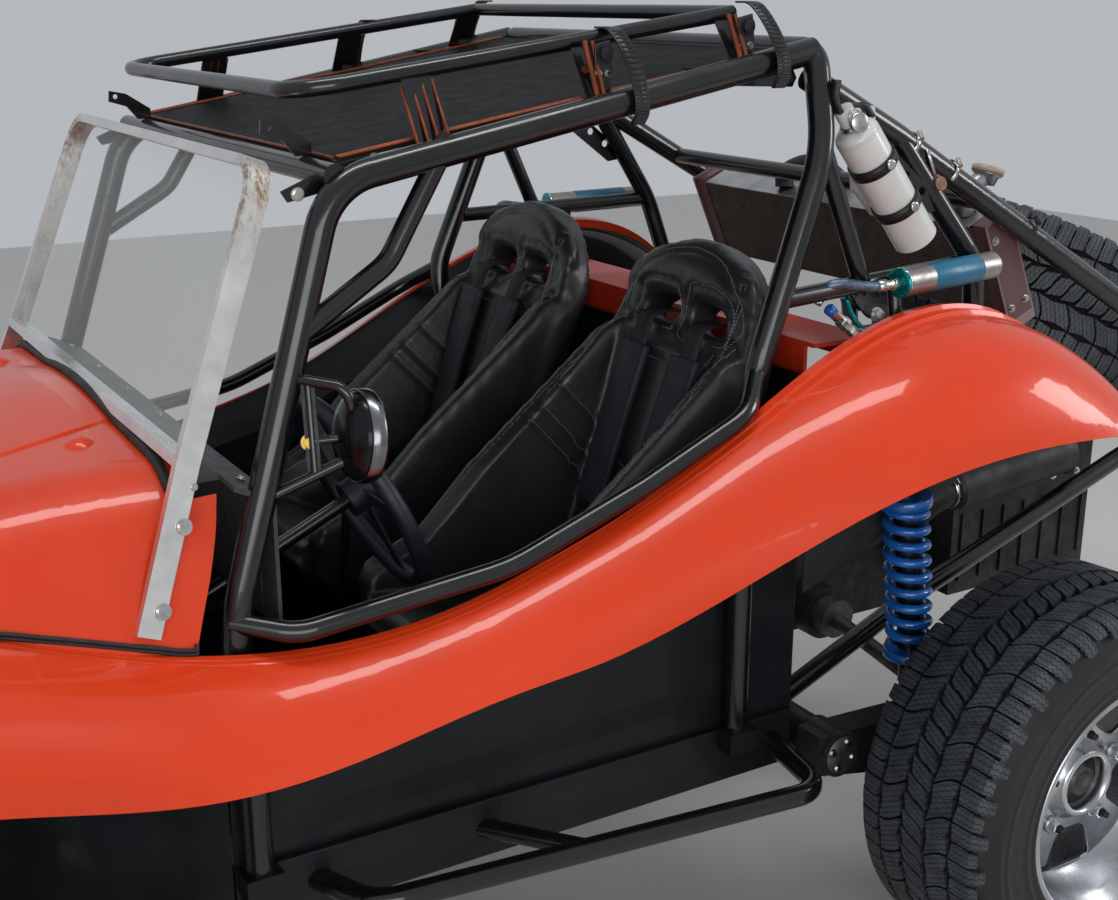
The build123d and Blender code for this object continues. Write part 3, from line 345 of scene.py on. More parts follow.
def join(name, pieces):
    """Several pieces of one body as one piece, each with its own finish."""
    shape, finishes = bmesh.new(), []
    for piece in pieces:
        start = len(shape.faces)
        shape.from_mesh(piece.data)
        shape.faces.ensure_lookup_table()
        slots = list(piece.data.materials)
        for face in shape.faces[start:]:
            coat = slots[min(face.material_index, len(slots) - 1)]
            if coat not in finishes:
                finishes.append(coat)
            face.material_index = finishes.index(coat)
    mesh = bpy.data.meshes.new(name)
    shape.to_mesh(mesh)
    shape.free()
    for coat in finishes:
        mesh.materials.append(coat)
    for piece in pieces:
        bpy.data.objects.remove(piece)
    return new_object(name, mesh)


def mirrored(piece, name):
    """The piece's twin on the other side of the buggy."""
    mesh = piece.data.copy()
    mesh.transform(Matrix.Scale(-1, 4, (0, 1, 0)))
    mesh.flip_normals()
    return new_object(name, mesh)


def settle(piece, body="chassis"):
    """Says what a new piece rides on."""
    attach(piece, body)
    return piece


def keep(name, pieces, body="chassis"):
    return settle(join(name, pieces), body)


def keep_pair(name, pieces):
    """Keeps pieces made for the left side, and their twin on the right."""
    left = keep(f"{name}_left", pieces)
    return left, settle(mirrored(left, f"{name}_right"))


# The welt along the hood's seam: two folds of black vinyl cord side by side
black_rubber = finish("black_rubber", "#161617", "#222223", 60, 0.6, 0.1, grain_mm=2.5, grain_depth=0.12)
SEAM = [(1.83, 0.478, 0.76), (1.6, 0.488, 0.945), (1.34, 0.518, 1.01), (1.08, 0.5805, 0.974),
        (0.79, 0.5985, 0.886), (0.735, 0.6005, 0.878)]
WELT_LIFT, WELT_RADIUS = 0.0035, 0.0033
hood_skin = skin_of(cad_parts["hood"].data)
for side, label in SIDES:
    folds = []
    for drop in (0.0, 0.006):
        line = [hood_skin.find_nearest(point)[0] + Vector((0, side * WELT_LIFT / 2, WELT_LIFT + drop))
                for point in smooth_path([(x, y * side, z) for x, y, z in SEAM], 10)]
        folds.append(tube(line, WELT_RADIUS, black_rubber, 8))
    keep(f"hood_welt_{label}", folds)


# Windshield
# Flat laminated glass held in a dull drawn-aluminium channel. A post on each side runs down outside
# the hood and is screwed to it, and a strip of sponge rubber seals the lower rail to the cowl.
def new_tree(name, **sizes):
    """A geometry tree whose inputs are named for its sizes: the tree, those inputs and its output node."""
    made = bpy.data.node_groups.new(name, "GeometryNodeTree")
    made.interface.new_socket("Geometry", in_out="INPUT", socket_type="NodeSocketGeometry")
    for label, kind in {**sizes, "Finish": "Material"}.items():
        made.interface.new_socket(label.replace("_", " "), in_out="INPUT", socket_type="NodeSocket" + kind)
    made.interface.new_socket("Geometry", in_out="OUTPUT", socket_type="NodeSocketGeometry")
    return made, made.nodes.new("NodeGroupInput").outputs, made.nodes.new("NodeGroupOutput")


def close_tree(tree, given, end, geometry):
    """Ends a tree: the instances become mesh and get their finish."""
    real = node(tree, "GeometryNodeRealizeInstances", {"Geometry": geometry})
    wire(tree, end, {"Geometry": node(tree, "GeometryNodeSetMaterial",
                                      {"Geometry": real, "Material": given["Finish"]})})


def placed(tree, points, instance, **inputs):
    return node(tree, "GeometryNodeInstanceOnPoints", {"Points": points, "Instance": instance, **inputs})


def cylinder(tree, sides, radius, depth):
    return node(tree, "GeometryNodeMeshCylinder", {"Vertices": sides, "Radius": radius, "Depth": depth})


def grow(piece, tree, **sizes):
    """Runs a geometry tree on a piece with the named sizes, and keeps the result as plain mesh."""
    step = piece.modifiers.new(tree.name, "NODES")
    step.node_group = tree
    for item in tree.interface.items_tree:
        if item.in_out == "INPUT" and item.name.replace(" ", "_") in sizes:
            step[item.identifier] = sizes[item.name.replace(" ", "_")]
    return to_mesh(piece)


# Bolts: a hex or round head on a washer at every point, standing along that point's facing
WASHER_SHARE, WASHER_THICK = 1.45, 0.3
bolt_tree, given, end = new_tree("bolts", Head_Radius="Float", Head_Height="Float", Sides="Int")
radius, height = given["Head Radius"], given["Head Height"]
lift = node(bolt_tree, "CombineXYZ", {"Z": math(bolt_tree, "MULTIPLY", height, 0.6)})
raised = node(bolt_tree, "GeometryNodeTransform", {
    "Geometry": cylinder(bolt_tree, given["Sides"], radius, height), "Translation": lift})
washer = cylinder(bolt_tree, 16, math(bolt_tree, "MULTIPLY", radius, WASHER_SHARE),
                  math(bolt_tree, "MULTIPLY", height, WASHER_THICK))
whole = node(bolt_tree, "GeometryNodeJoinGeometry")
for shape in (raised, washer):
    wire(bolt_tree, whole, {0: shape})
facing = node(bolt_tree, "GeometryNodeInputNamedAttribute", {"Name": "facing"}, data_type="FLOAT_VECTOR")
aligned = node(bolt_tree, "FunctionNodeAlignRotationToVector", {"Vector": facing}, axis="Z")
close_tree(bolt_tree, given, end, placed(bolt_tree, given["Geometry"], whole, Rotation=aligned))


def bolts(spots, radius, height, material, sides=6):
    """Bolt heads at (place, facing) spots."""
    mesh = bpy.data.meshes.new("spots")
    mesh.from_pydata([tuple(place) for place, _ in spots], [], [])
    stored = mesh.attributes.new("facing", "FLOAT_VECTOR", "POINT")
    for item, (_, facing) in zip(stored.data, spots):
        item.vector = facing
    return grow(new_object("part", mesh), bolt_tree, Head_Radius=radius, Head_Height=height, Sides=sides,
                Finish=material)


# Rows: copies of a piece, each one step further on
row_tree, given, end = new_tree("row", Count="Int", Step="Vector")
places = node(row_tree, "GeometryNodeMeshLine", {"Count": given["Count"], "Offset": given["Step"]})
close_tree(row_tree, given, end, placed(row_tree, places, given["Geometry"]))


def row(piece, count, step, material):
    return grow(piece, row_tree, Count=count, Step=step, Finish=material)


def box(corners, material):
    """A box from its eight corners, in the order of x, then y, then z."""
    return solid(corners, [(0, 1, 3, 2), (4, 6, 7, 5), (0, 4, 5, 1), (2, 3, 7, 6), (0, 2, 6, 4), (1, 5, 7, 3)],
                 material)


def bar(low, high, material):
    """A straight bar between two corners."""
    xs, ys, zs = zip(low, high)
    return box([(x, y, z) for x in xs for y in ys for z in zs], material)


# Drawn aluminium left bare: dull, and brown with old sealant at its top corners
channel_metal = finish("weathered_aluminium", "#D2D2D0", "#ECECEA", 120, 0.3, 0.07, metallic=0.85, grain_mm=3,
                       grain_depth=0.08)
tree = channel_metal.node_tree
stain = ramp(tree, noise(tree, 34.0, 8.0, rough=0.75), 0.44, 0.6)
place = node(tree, "SeparateXYZ", {"Vector": spot_of(tree)}).outputs
corner = ramp(tree, math(tree, "ABSOLUTE", place[1]), 0.43, 0.49)
top_corner = math(tree, "MULTIPLY", corner, ramp(tree, place[2], 1.38, 1.52))
overlay(channel_metal, math(tree, "MULTIPLY", top_corner, stain), "#8E7350", 0.75)
finish_nodes(channel_metal, "windshield_frame")

# Laminated glass, 6 mm: nearly clear with a faint green cast
glass, tree, shader = new_material("laminated_glass", Alpha=0.14, IOR=1.52)
wire(tree, shader, {"Base Color": linear("#DDE8E4"),
                    "Roughness": ramp(tree, noise(tree, 5.0, 6.0), start=0.01, end=0.06)})
finish_nodes(glass, "windshield_glass")

bright_zinc = finish("zinc_plated_steel", "#A9A9A6", "#D5D4CF", 25, 0.26, 0.08, metallic=1.0)
black_bolt = finish("black_oxide_steel", "#1B1B1D", "#2B2B2E", 20, 0.42, 0.08, metallic=0.5)
# Screws of the near post, each where the photograph shows it: across, down and head radius
keep_pair("windshield_screws", [bolts([seen("windshield_frame", px, py)], radius, radius * 0.6, bright_zinc, 12)
                                for px, py, radius in ((194, 487, 0.004), (184, 527, 0.0085), (163, 612, 0.0085))])
# Sealing strip between the cowl and the lower rail
cowl = [hood_skin.ray_cast(Vector((0.772, i * 0.05 - 0.5, 1.3)), Vector((0, 0, -1)))[0] for i in range(21)]
keep("cowl_seal", [tube([p + Vector((0, 0, 0.006)) for p in cowl if p], 0.009, black_rubber, 8)])


# Floor, side panels and rocker boxes
# Folded sheet steel, powder coated satin black. The flat sides under the body mouldings are rubbed
# by boots and gravel, and their coat has gone grey in long scuffs.
panel_coat = finish("satin_black_powder_coat", "#0E0F11", "#191B1F", 260, 0.42, 0.1, coat=0.1, grain_mm=3,
                    grain_depth=0.1)
dull(panel_coat, 0.22)
tree = panel_coat.node_tree
drawn_out = node(tree, "Mapping", {"Scale": (2.0, 8.0, 26.0), "Rotation": (0, radians(9), 0),
                                   "Vector": spot_of(tree)})
worn = ramp(tree, noise(tree, 3.0, 9.0, drawn_out, 0.8), 0.6, 0.78, end=0.35)
overlay(panel_coat, worn, "#4A4B4E", 0.62)
finish_nodes(panel_coat, "floor_pan", "side_panels", "seat_mounts")
# Pressed ledge along the foot of each side panel, where the side bars are bolted on
keep_pair("rocker_ledge", [slab([(-0.345, 0.548, 0.388), (-0.345, 0.548, 0.494), (0.722, 0.548, 0.494),
                                 (0.722, 0.548, 0.388)], 0.014, panel_coat, 0.003)])


# Roll cage
# Bent and welded steel tube in semi-gloss black, with bolted plates where the roof's cross tubes
# and the rear stays come in. Most of it is scratched where people climb through.
cage_paint = finish("semi_gloss_black_paint", "#08090A", "#111214", 300, 0.24, 0.07, coat=0.3, grain_mm=6,
                    grain_depth=0.03)
tree = cage_paint.node_tree
overlay(cage_paint, ramp(tree, noise(tree, 60.0, 8.0, spot_of(tree), 0.8), 0.69, 0.74, end=0.7), "#55504A", 0.55)
finish_nodes(cage_paint, "cage_main_hoop", "cage_front_hoops", "cage_door_rails", "cage_stays",
             "cage_shelf_tubes", "cage_cross_tubes", "front_bumper", "side_bars", "rear_frame", "roof_rack")

# Tapered plates bolted under the ends of the roof's cross tubes
plates = []
for side, _ in SIDES:
    for corners in ([(-0.10, 1.662), (-0.325, 1.654), (-0.333, 1.640), (-0.325, 1.625), (-0.14, 1.632)],
                    [(0.585, 1.508), (0.575, 1.492), (0.48, 1.512), (0.40, 1.545), (0.44, 1.553), (0.50, 1.543)]):
        plates.append(slab([(x, side * 0.500, z) for x, z in corners], 0.004, cage_paint, 0.001))
    plates.append(bolts([((x, side * 0.5025, z), (0, side, 0)) for x, z in
                         ((-0.315, 1.64), (-0.15, 1.645), (0.56, 1.503), (0.44, 1.545))], 0.007, 0.005, bright_zinc))
keep("roof_corner_plates", plates)


def drilled(piece, drills):
    """A piece with other pieces cut out of it."""
    drill = join("drills", drills)
    piece = modify(piece, "BOOLEAN", object=drill, operation="DIFFERENCE", solver="EXACT")
    bpy.data.objects.remove(drill)
    return piece


def disc_outline(radius, count, place=lambda a, b: (a, b)):
    """Points round a circle, each put where place says."""
    return [place(radius * cos(k * tau / count), radius * sin(k * tau / count)) for k in range(count)]


# Perforated gusset between the stay and its knee tube
GUSSET = [(-0.43, 1.57), (-0.50, 1.54), (-0.63, 1.44), (-0.66, 1.40), (-0.62, 1.395), (-0.52, 1.47)]
GUSSET_HOLES = [(-0.49, 1.525), (-0.53, 1.50), (-0.57, 1.467), (-0.61, 1.437)]
GUSSET_THICK = 0.003
for side, label in SIDES:
    y = side * 0.528
    drills = [slab(disc_outline(0.008, 14, lambda a, b: (x + a, y, z + b)), GUSSET_THICK * 3, cage_paint)
              for x, z in GUSSET_HOLES]
    keep(f"stay_gusset_{label}", [drilled(slab([(x, y, z) for x, z in GUSSET], GUSSET_THICK, cage_paint), drills)])


def swept(sections, material, smooth=True, closed=False):
    """A four-cornered band through sections of four points each."""
    count = len(sections)
    faces = [(4 * i + k, 4 * i + (k + 1) % 4, 4 * j + (k + 1) % 4, 4 * j + k)
             for i in range(count - (not closed)) for j in [(i + 1) % count] for k in range(4)]
    if not closed:
        faces += [(0, 1, 2, 3), tuple(4 * count - 4 + k for k in (3, 2, 1, 0))]
    return solid([point for section in sections for point in section], faces, material, smooth)


def crosswise(axis):
    """An axis as a unit vector, and two directions square to it and to each other."""
    axis = Vector(axis).normalized()
    side = axis.orthogonal().normalized()
    return axis, side, axis.cross(side)


def hose_clamp(centre, along, radius, width, material):
    """A worm-drive clamp round a tube, with its screw housing."""
    axis, side, other = crosswise(along)
    centre, thick = Vector(centre), 0.0012
    ring = [[centre + (side * cos(i * tau / 28) + other * sin(i * tau / 28)) * r + axis * a * width / 2
             for r, a in ((radius, -1), (radius, 1), (radius + thick, 1), (radius + thick, -1))] for i in range(28)]
    home = centre + side * (radius + 0.004)
    return join("clamp", [swept(ring, material, closed=True),
                          tube([home - other * 0.009, home + other * 0.011], 0.0045, material, 8)])


def ribbon(path, across, width, thick, material, smooth=True):
    """A flat band of even width along a path; across is the direction of its width."""
    path, wide = [Vector(p) for p in path], Vector(across).normalized()
    sections = []
    for i, point in enumerate(path):
        up = (path[min(i + 1, len(path) - 1)] - path[max(i - 1, 0)]).normalized().cross(wide).normalized()
        sections.append([point + wide * a * width / 2 + up * b * thick / 2
                         for a, b in ((-1, -1), (1, -1), (1, 1), (-1, 1))])
    return swept(sections, material, smooth)


# Hose clamps on the rear stay, and a tan-plated cap that hangs from it on a strap
tan_plate = finish("yellow_zinc_plate", "#7E5C48", "#A5866F", 12, 0.35, 0.08, metallic=0.8)
keep("stay_clamps", [
    hose_clamp((-0.60, 0.50, 1.516), (0.88, 0, 0.47), 0.0225, 0.011, bright_zinc),
    hose_clamp((-0.70, 0.50, 1.4625), (0.87, 0, 0.48), 0.0225, 0.009, bright_zinc),
    hose_clamp((-0.92, 0.50, 1.342), (0.87, 0, 0.49), 0.0225, 0.008, black_bolt),
    ribbon([(-0.622, 0.524, 1.508), (-0.628, 0.527, 1.490), (-0.645, 0.529, 1.452)], (0.9, 0, 0.4), 0.009, 0.002,
           bright_zinc),
    bolts([((-0.647, 0.525, 1.446), (0.1, 1, 0.2))], 0.0125, 0.014, tan_plate, 24)])


# Roof and rack
# A fine-ribbed black mesh panel is clipped between the rails in copper-coloured edge strips. The
# rack's flat uprights are folded sheet, and ratchet straps hold its rear clamps to the rail.
roof_mesh = finish("ribbed_black_mesh", "#0D0D0F", "#17181A", 120, 0.5, 0.08, grain_mm=2.5, grain_depth=0.15)
dull(roof_mesh, 0.25)
finish_nodes(roof_mesh, "roof_panel")
finish_nodes(cage_paint, "rack_brackets")
copper = finish("copper_coated_steel", "#733A26", "#9A4E34", 30, 0.42, 0.1, metallic=0.75, grain_mm=2,
                grain_depth=0.08)
ROOF_LOW, ROOF_HIGH, ROOF_HALF = (0.500, 1.545), (-0.322, 1.684), 0.494
RIB_COUNT, RIB_PITCH, RIB_WIDTH, RIB_START = 148, 0.0065, 0.0028, -0.482
fall = Vector((ROOF_LOW[0] - ROOF_HIGH[0], 0, ROOF_LOW[1] - ROOF_HIGH[1])).normalized()
roof_up = Vector((-fall.z, 0, fall.x))


def roof_point(x, y, up):
    """A place so far above the roof panel's upper face."""
    share = (x - ROOF_HIGH[0]) / (ROOF_LOW[0] - ROOF_HIGH[0])
    return Vector((x, y, ROOF_HIGH[1] + share * (ROOF_LOW[1] - ROOF_HIGH[1]))) + roof_up * up


for label, low, high in (("upper", 0.0, 0.0018), ("lower", -0.0058, -0.004)):
    rib = box([roof_point(x, RIB_START + y, z) for x in (ROOF_HIGH[0] + 0.006, ROOF_LOW[0] - 0.006)
               for y in (0, RIB_WIDTH) for z in (low, high)], roof_mesh)
    keep(f"roof_ribs_{label}", [row(rib, RIB_COUNT, (0, RIB_PITCH, 0), roof_mesh)])
edges = [tube([roof_point(x, side * (ROOF_HALF - 0.003 - inset), 0.003)
               for x in (ROOF_HIGH[0] + 0.01, ROOF_LOW[0] - 0.01)], 0.0027, copper, 8)
         for side, _ in SIDES for inset in (0.0, 0.011)]
edges.append(tube([roof_point(ROOF_LOW[0] - 0.004, y, 0.003) for y in (-0.48, 0.48)], 0.003, copper, 8))
keep("roof_edge_strips", edges)

# Folds of the front uprights, and pressed discs on those of the far side
UPRIGHT_LOW, UPRIGHT_HIGH = (0.512, 1.576), (0.452, 1.653)
for side, label in SIDES:
    folds = [tube([(x, side * (UPRIGHT_LOW[0] + 0.003), UPRIGHT_LOW[1] + drop - 0.012),
                   (x, side * (UPRIGHT_HIGH[0] + 0.006), UPRIGHT_HIGH[1] + drop - 0.005)], 0.0026, copper, 8)
             for x in (0.325, 0.342, 0.358, 0.375) for drop in [(0.35 - x) * 0.19]]
    folds.append(bolts([((x, side * 0.4795, 1.66), Vector((0, side, 0.6)).normalized())
                        for x in (0.048, 0.060, 0.072)], 0.006, 0.002, copper, 14))
    keep(f"upright_trim_{label}", folds)

# Ratchet straps and their clamps: a black plate with one large pivot bolt, and a toothed tongue
# that comes over the rack tube and round the outside of the roof rail
strap_plastic = finish("moulded_black_nylon", "#131314", "#1D1D1F", 40, 0.4, 0.08, grain_mm=2, grain_depth=0.06)
TOOTH = Vector((0.011, 0.0016, 0.0016))
for side, label in SIDES:
    for x, rise, tag in ((0.045, 0.0, "front"), (-0.23, 0.038, "rear")):
        top, foot = 1.7075 + rise, 1.606 + rise * 1.25
        path = smooth_path([(x - back, side * y, z) for back, y, z in (
            (0.025, 0.445, top + 0.016), (0.028, 0.480, top + 0.012), (0.03, 0.520, top - 0.022),
            (0.032, 0.548, foot + 0.03), (0.033, 0.5535, foot - 0.005), (0.033, 0.540, foot - 0.026))], 6)
        parts = [ribbon(path, (1, 0, 0), 0.026, 0.003, strap_plastic)]
        for a, b in zip(path[6:], path[7:]):
            centre = (a + b) / 2 + Vector((0, side * 0.0028, 0))
            parts.append(bar(centre - TOOTH, centre + TOOTH, strap_plastic))
        parts.append(slab([(x + a, side * 0.497, z) for a, z in (
            (0.020, top - 0.008), (-0.008, top - 0.002), (-0.014, top - 0.045), (-0.004, foot + 0.018),
            (0.018, foot + 0.018))], 0.004, strap_plastic, 0.001))
        for ahead, y, radius in ((0.026, 0.478, 0.0045), (0.014, 0.480, 0.0035)):
            parts.append(tube([(x + ahead, side * y, top - 0.004), (x + ahead, side * 0.519, foot + 0.012)],
                              radius, copper, 8))
        parts.append(bolts([((x + 0.002, side * 0.499, top - 0.022), (0, side, 0))], 0.0105, 0.006, black_bolt, 16))
        parts.append(bolts([((x + a, side * 0.499, top - 0.052), (0, side, 0)) for a in (-0.004, 0.013)],
                           0.0045, 0.004, bright_zinc))
        keep(f"rack_strap_{label}_{tag}", parts)


# Seats
# High-back suspension seats: foam over a tube frame, in grained black vinyl with rolled edges. Panels
# are sewn with a grey top stitch, and two openings below the headrest let the shoulder belts through.
HIP = (-0.02, 0.31, 0.61)
SEAT_LEAN = radians(19)
BACK_HALF, BACK_TOP, WALL_THICK = 0.218, 0.794, 0.048
INNER_HALF = BACK_HALF - WALL_THICK
FOAM_LIMIT, FOAM_FRAMES = 0.007, 14
back_up = Vector((-sin(SEAT_LEAN), 0, cos(SEAT_LEAN)))
back_out = Vector((cos(SEAT_LEAN), 0, sin(SEAT_LEAN)))
across_seat = Vector((0, 1, 0))


def from_hip(x, across, z):
    return Vector((HIP[0] + x, HIP[1] + across, HIP[2] + z))


def on_back(across, up, out):
    """A place on the driver's backrest: across from its middle, up from the hip and out from its front."""
    return from_hip(0, across, 0) + back_up * up + back_out * out


def rounded(points, radius, steps=5):
    """An outline of (across, up) points with its corners rounded."""
    out, count = [], len(points)
    for i, corner in enumerate(points):
        corner, before, after = Vector(corner), Vector(points[i - 1]), Vector(points[(i + 1) % count])
        cut = min(radius, (before - corner).length / 2, (after - corner).length / 2)
        a, b = (corner + (end - corner).normalized() * cut for end in (before, after))
        out += [a.lerp(corner, t / steps).lerp(corner.lerp(b, t / steps), t / steps) for t in range(steps + 1)]
    return out


def arch(half, low, shoulder, top):
    """The backrest's outline: straight sides, and a half-round headrest."""
    side = [(half * 0.93, low), (half, low + 0.18), (half, shoulder)]
    crown = [(half * cos(a * pi / 20), shoulder + (top - shoulder) * sin(a * pi / 20)) for a in range(1, 20)]
    return side + crown + [(-x, z) for x, z in reversed(side)]


def sheet_of(outline, low, high):
    """A slab of the backrest, between two distances out from its front face."""
    return slab([on_back(a, u, (low + high) / 2) for a, u in outline], high - low, black_vinyl)


# Grained vinyl over foam: soft sheen, a leather grain of 1.4 mm drawn at 3 mm to show
black_vinyl = finish("grained_black_vinyl", "#1F2022", "#2A2B2E", 240, 0.42, 0.07, coat=0.15)
tree = black_vinyl.node_tree
cells = node(tree, "TexVoronoi", {"Scale": 330.0, "Vector": spot_of(tree)}, feature="DISTANCE_TO_EDGE")
grain = bump(tree, ramp(tree, cells, high=0.3), 0.18, 0.0006)
pulled = bump(tree, noise(tree, 28.0, 3.0, Distortion=0.6), 0.22, 0.004, Normal=grain)
wire(tree, shader_of(black_vinyl), {"Normal": pulled})
top_stitch = finish("grey_thread", "#6E6F72", "#8A8B8D", 10, 0.6)

HOLES = [[(s * a, u) for a, u in ((0.020, 0.628), (0.134, 0.628), (0.122, 0.662), (0.086, 0.678), (0.020, 0.678))]
         for s in (1, -1)]
# Side wall: forward of the hip, above it, and how far out its inner face is there
WALL = [(-0.02, -0.092, 0.13), (0.325, 0.018, 0.15), (0.352, 0.06, 0.158), (0.356, 0.13, 0.168),
        (0.338, 0.163, 0.172), (0.228, 0.216, 0.174), (0.114, 0.326, 0.174), (-0.172, 0.556, 0.172),
        (-0.228, 0.575, 0.165), (-0.255, 0.54, 0.135), (-0.17, 0.25, 0.115), (-0.08, -0.03, 0.10)]
foam = [drilled(sheet_of(arch(BACK_HALF - 0.002, -0.05, 0.585, BACK_TOP), -0.085, -0.018),
                [sheet_of(rounded(hole, 0.012), -0.3, 0.3) for hole in HOLES]),
        sheet_of(rounded([(-0.125, 0.03), (0.125, 0.03), (0.125, 0.58), (-0.125, 0.58)], 0.05), -0.03, -0.006),
        slab([(x, HIP[1], z) for x, z in ((-0.05, 0.595), (0.03, 0.598), (0.25, 0.705), (0.325, 0.715),
                                          (0.362, 0.685), (0.335, 0.645), (-0.01, 0.515))],
             2 * INNER_HALF + 0.01, black_vinyl)]
# The head pad is built up in four sheets, each smaller than the one behind it
for cut, out in ((0.0, -0.014), (0.018, -0.007), (0.038, -0.001), (0.062, 0.003)):
    foam.append(sheet_of([((0.204 - cut) * cos(a * pi / 16), 0.682 + cut * 0.3 + (0.104 - cut) * sin(a * pi / 16))
                          for a in range(17)], -0.04, out))
for side, _ in SIDES:
    foam.append(between([from_hip(x, side * (BACK_HALF - 0.009), z) for x, z, _ in WALL],
                        [from_hip(x, side * a, z) for x, z, a in WALL], black_vinyl))
seat = join("seat_left", foam)
blocks = seat.modifiers.new("foam", "REMESH")
blocks.mode, blocks.voxel_size = "VOXEL", 0.0078
seat = modify(seat, "SMOOTH", factor=0.5, iterations=10)
before = [v.co.copy() for v in seat.data.vertices]
cloth = seat.modifiers.new("inflate", "CLOTH")
for name, value in (("quality", 4), ("mass", 0.3), ("tension_stiffness", 30), ("compression_stiffness", 30),
                    ("bending_stiffness", 6), ("use_pressure", True), ("uniform_pressure_force", 4)):
    setattr(cloth.settings, name, value)
cloth.settings.effector_weights.gravity = 0
cloth.collision_settings.use_collision = False
cloth.point_cache.frame_start, cloth.point_cache.frame_end = 1, FOAM_FRAMES
for step in range(1, FOAM_FRAMES + 1):
    scene.frame_set(step)
seat = to_mesh(seat)
scene.frame_set(1)
for vertex, start in zip(seat.data.vertices, before):
    move = vertex.co - start
    if move.length > FOAM_LIMIT:
        vertex.co = start + move.normalized() * FOAM_LIMIT


def on_seat(points, steps=14, lift=0.0):
    """A path laid on the seat's own surface from points in front of it."""
    found = skin_of(seat.data)
    line = [a.lerp(b, i / steps) for a, b in zip(points, points[1:]) for i in range(steps)] + [points[-1]]
    return [place + facing * lift for place, facing, _, _ in map(found.find_nearest, line)]


# Sewn lines: round the headrest, down both sides of the lumbar panel, across it, round both openings,
# and in pairs across the inner faces of the side walls
seams = [on_seat([on_back(*p, 0.02) for p in arch(0.172, 0.60, 0.63, 0.772)], 3)]
for line in (((-0.135, 0.585), (-0.12, 0.4), (-0.10, 0.06)), ((0.135, 0.585), (0.12, 0.4), (0.10, 0.06)),
             ((-0.125, 0.56), (0.125, 0.56)), ((-0.115, 0.38), (0, 0.345), (0.115, 0.38)),
             ((-0.11, 0.20), (0.11, 0.20))):
    seams.append(on_seat([on_back(*p, 0.02) for p in line]))
for hole in HOLES:
    ring = [on_back(a, u, 0.02) for a, u in rounded(
        [(a + (0.013 if abs(a) > 0.03 else -0.006) * (1 if a > 0 else -1), u + (0.011 if u > 0.65 else -0.011))
         for a, u in hole], 0.022)]
    seams.append(on_seat(ring + ring[:1], 2))
for side, _ in SIDES:
    for x, z in ((-0.140, 0.238), (-0.166, 0.262), (-0.208, 0.30)):
        seams.append(on_seat([from_hip(x + run, side * (INNER_HALF - 0.01), z + rise)
                              for run, rise in ((0.15, 0.17), (0, 0))], 26))
    seams.append(on_seat([from_hip(x, side * (BACK_HALF - 0.036), z + 0.02) for x, z in
                          ((-0.215, 0.55), (-0.16, 0.54), (0.10, 0.33), (0.222, 0.212), (0.345, 0.15))], 18))

# The seams press into the padding
SEAM_DEPTH, SEAM_REACH = 0.0045, 0.013
spots = [p for line in seams for p in line]
near = KDTree(len(spots))
for i, spot in enumerate(spots):
    near.insert(spot, i)
near.balance()
for vertex, normal in [(v, v.normal.copy()) for v in seat.data.vertices]:
    _, _, gap = near.find(vertex.co)
    if gap < SEAM_REACH:
        vertex.co -= normal * SEAM_DEPTH * (1 - (gap / SEAM_REACH) ** 2) ** 2
seat.data.update()

# Stitches: short thread ends standing in a row along a line
STITCH_SHARE = 0.62
stitch_tree, given, end = new_tree("stitches", Pitch="Float", Thread_Radius="Float")
curve = node(stitch_tree, "GeometryNodeMeshToCurve", {"Mesh": given["Geometry"]})
spaced = node(stitch_tree, "GeometryNodeCurveToPoints", {"Curve": curve, "Length": given["Pitch"]}, mode="LENGTH")
thread = cylinder(stitch_tree, 5, given["Thread Radius"],
                  math(stitch_tree, "MULTIPLY", given["Pitch"], STITCH_SHARE))
close_tree(stitch_tree, given, end, placed(stitch_tree, spaced.outputs["Points"], thread,
                                           Rotation=spaced.outputs["Rotation"]))


def stitches(lines, pitch, radius, material):
    verts, edges = [], []
    for line in lines:
        edges += [(len(verts) + i, len(verts) + i + 1) for i in range(len(line) - 1)]
        verts += [tuple(p) for p in line]
    mesh = bpy.data.meshes.new("line")
    mesh.from_pydata(verts, edges, [])
    return grow(new_object("part", mesh), stitch_tree, Pitch=pitch, Thread_Radius=radius, Finish=material)


shade_smooth(seat)
seat.data.materials.clear()
seat.data.materials.append(black_vinyl)
STITCH_ASIDE = 0.007
beside = []
for line in seams:
    raised = []
    for i, point in enumerate(line):
        run = (line[min(i + 1, len(line) - 1)] - line[max(i - 1, 0)]).normalized()
        level = abs(run.y) > 0.1 or run.z > 0.9
        raised.append(point + run.cross(back_out if level else across_seat) * STITCH_ASIDE)
    beside.append(on_seat(raised, 1, 0.0006))
keep_pair("seat_stitches", [stitches(beside, 0.0065, 0.0007, top_stitch)])
for piece in (seat, mirrored(seat, "seat_right")):
    settle(piece)
    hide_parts("seats")


# Harnesses
# Two shoulder belts a seat, 50 mm nylon webbing, that come through the seat openings from behind,
# with padded sleeves on them, steel three-bar adjusters and a latch over the lap belts.
webbing = finish("woven_nylon", "#141219", "#1E1A22", 30, 0.72, 0.06)
tree = webbing.node_tree
weave = node(tree, "TexWave", {"Scale": 90.0, "Vector": spot_of(tree)}, bands_direction="Z")
wire(tree, shader_of(webbing), {"Normal": bump(tree, weave, 0.35, 0.0008)})
sleeve_cloth = finish("padded_sleeve_cloth", "#1E1921", "#2B232F", 60, 0.66, 0.07, grain_mm=2, grain_depth=0.25)
BELT_WIDE, BELT_THICK = 0.048, 0.0022


def belt_path(*points):
    return smooth_path([on_back(*p) for p in points], 6)


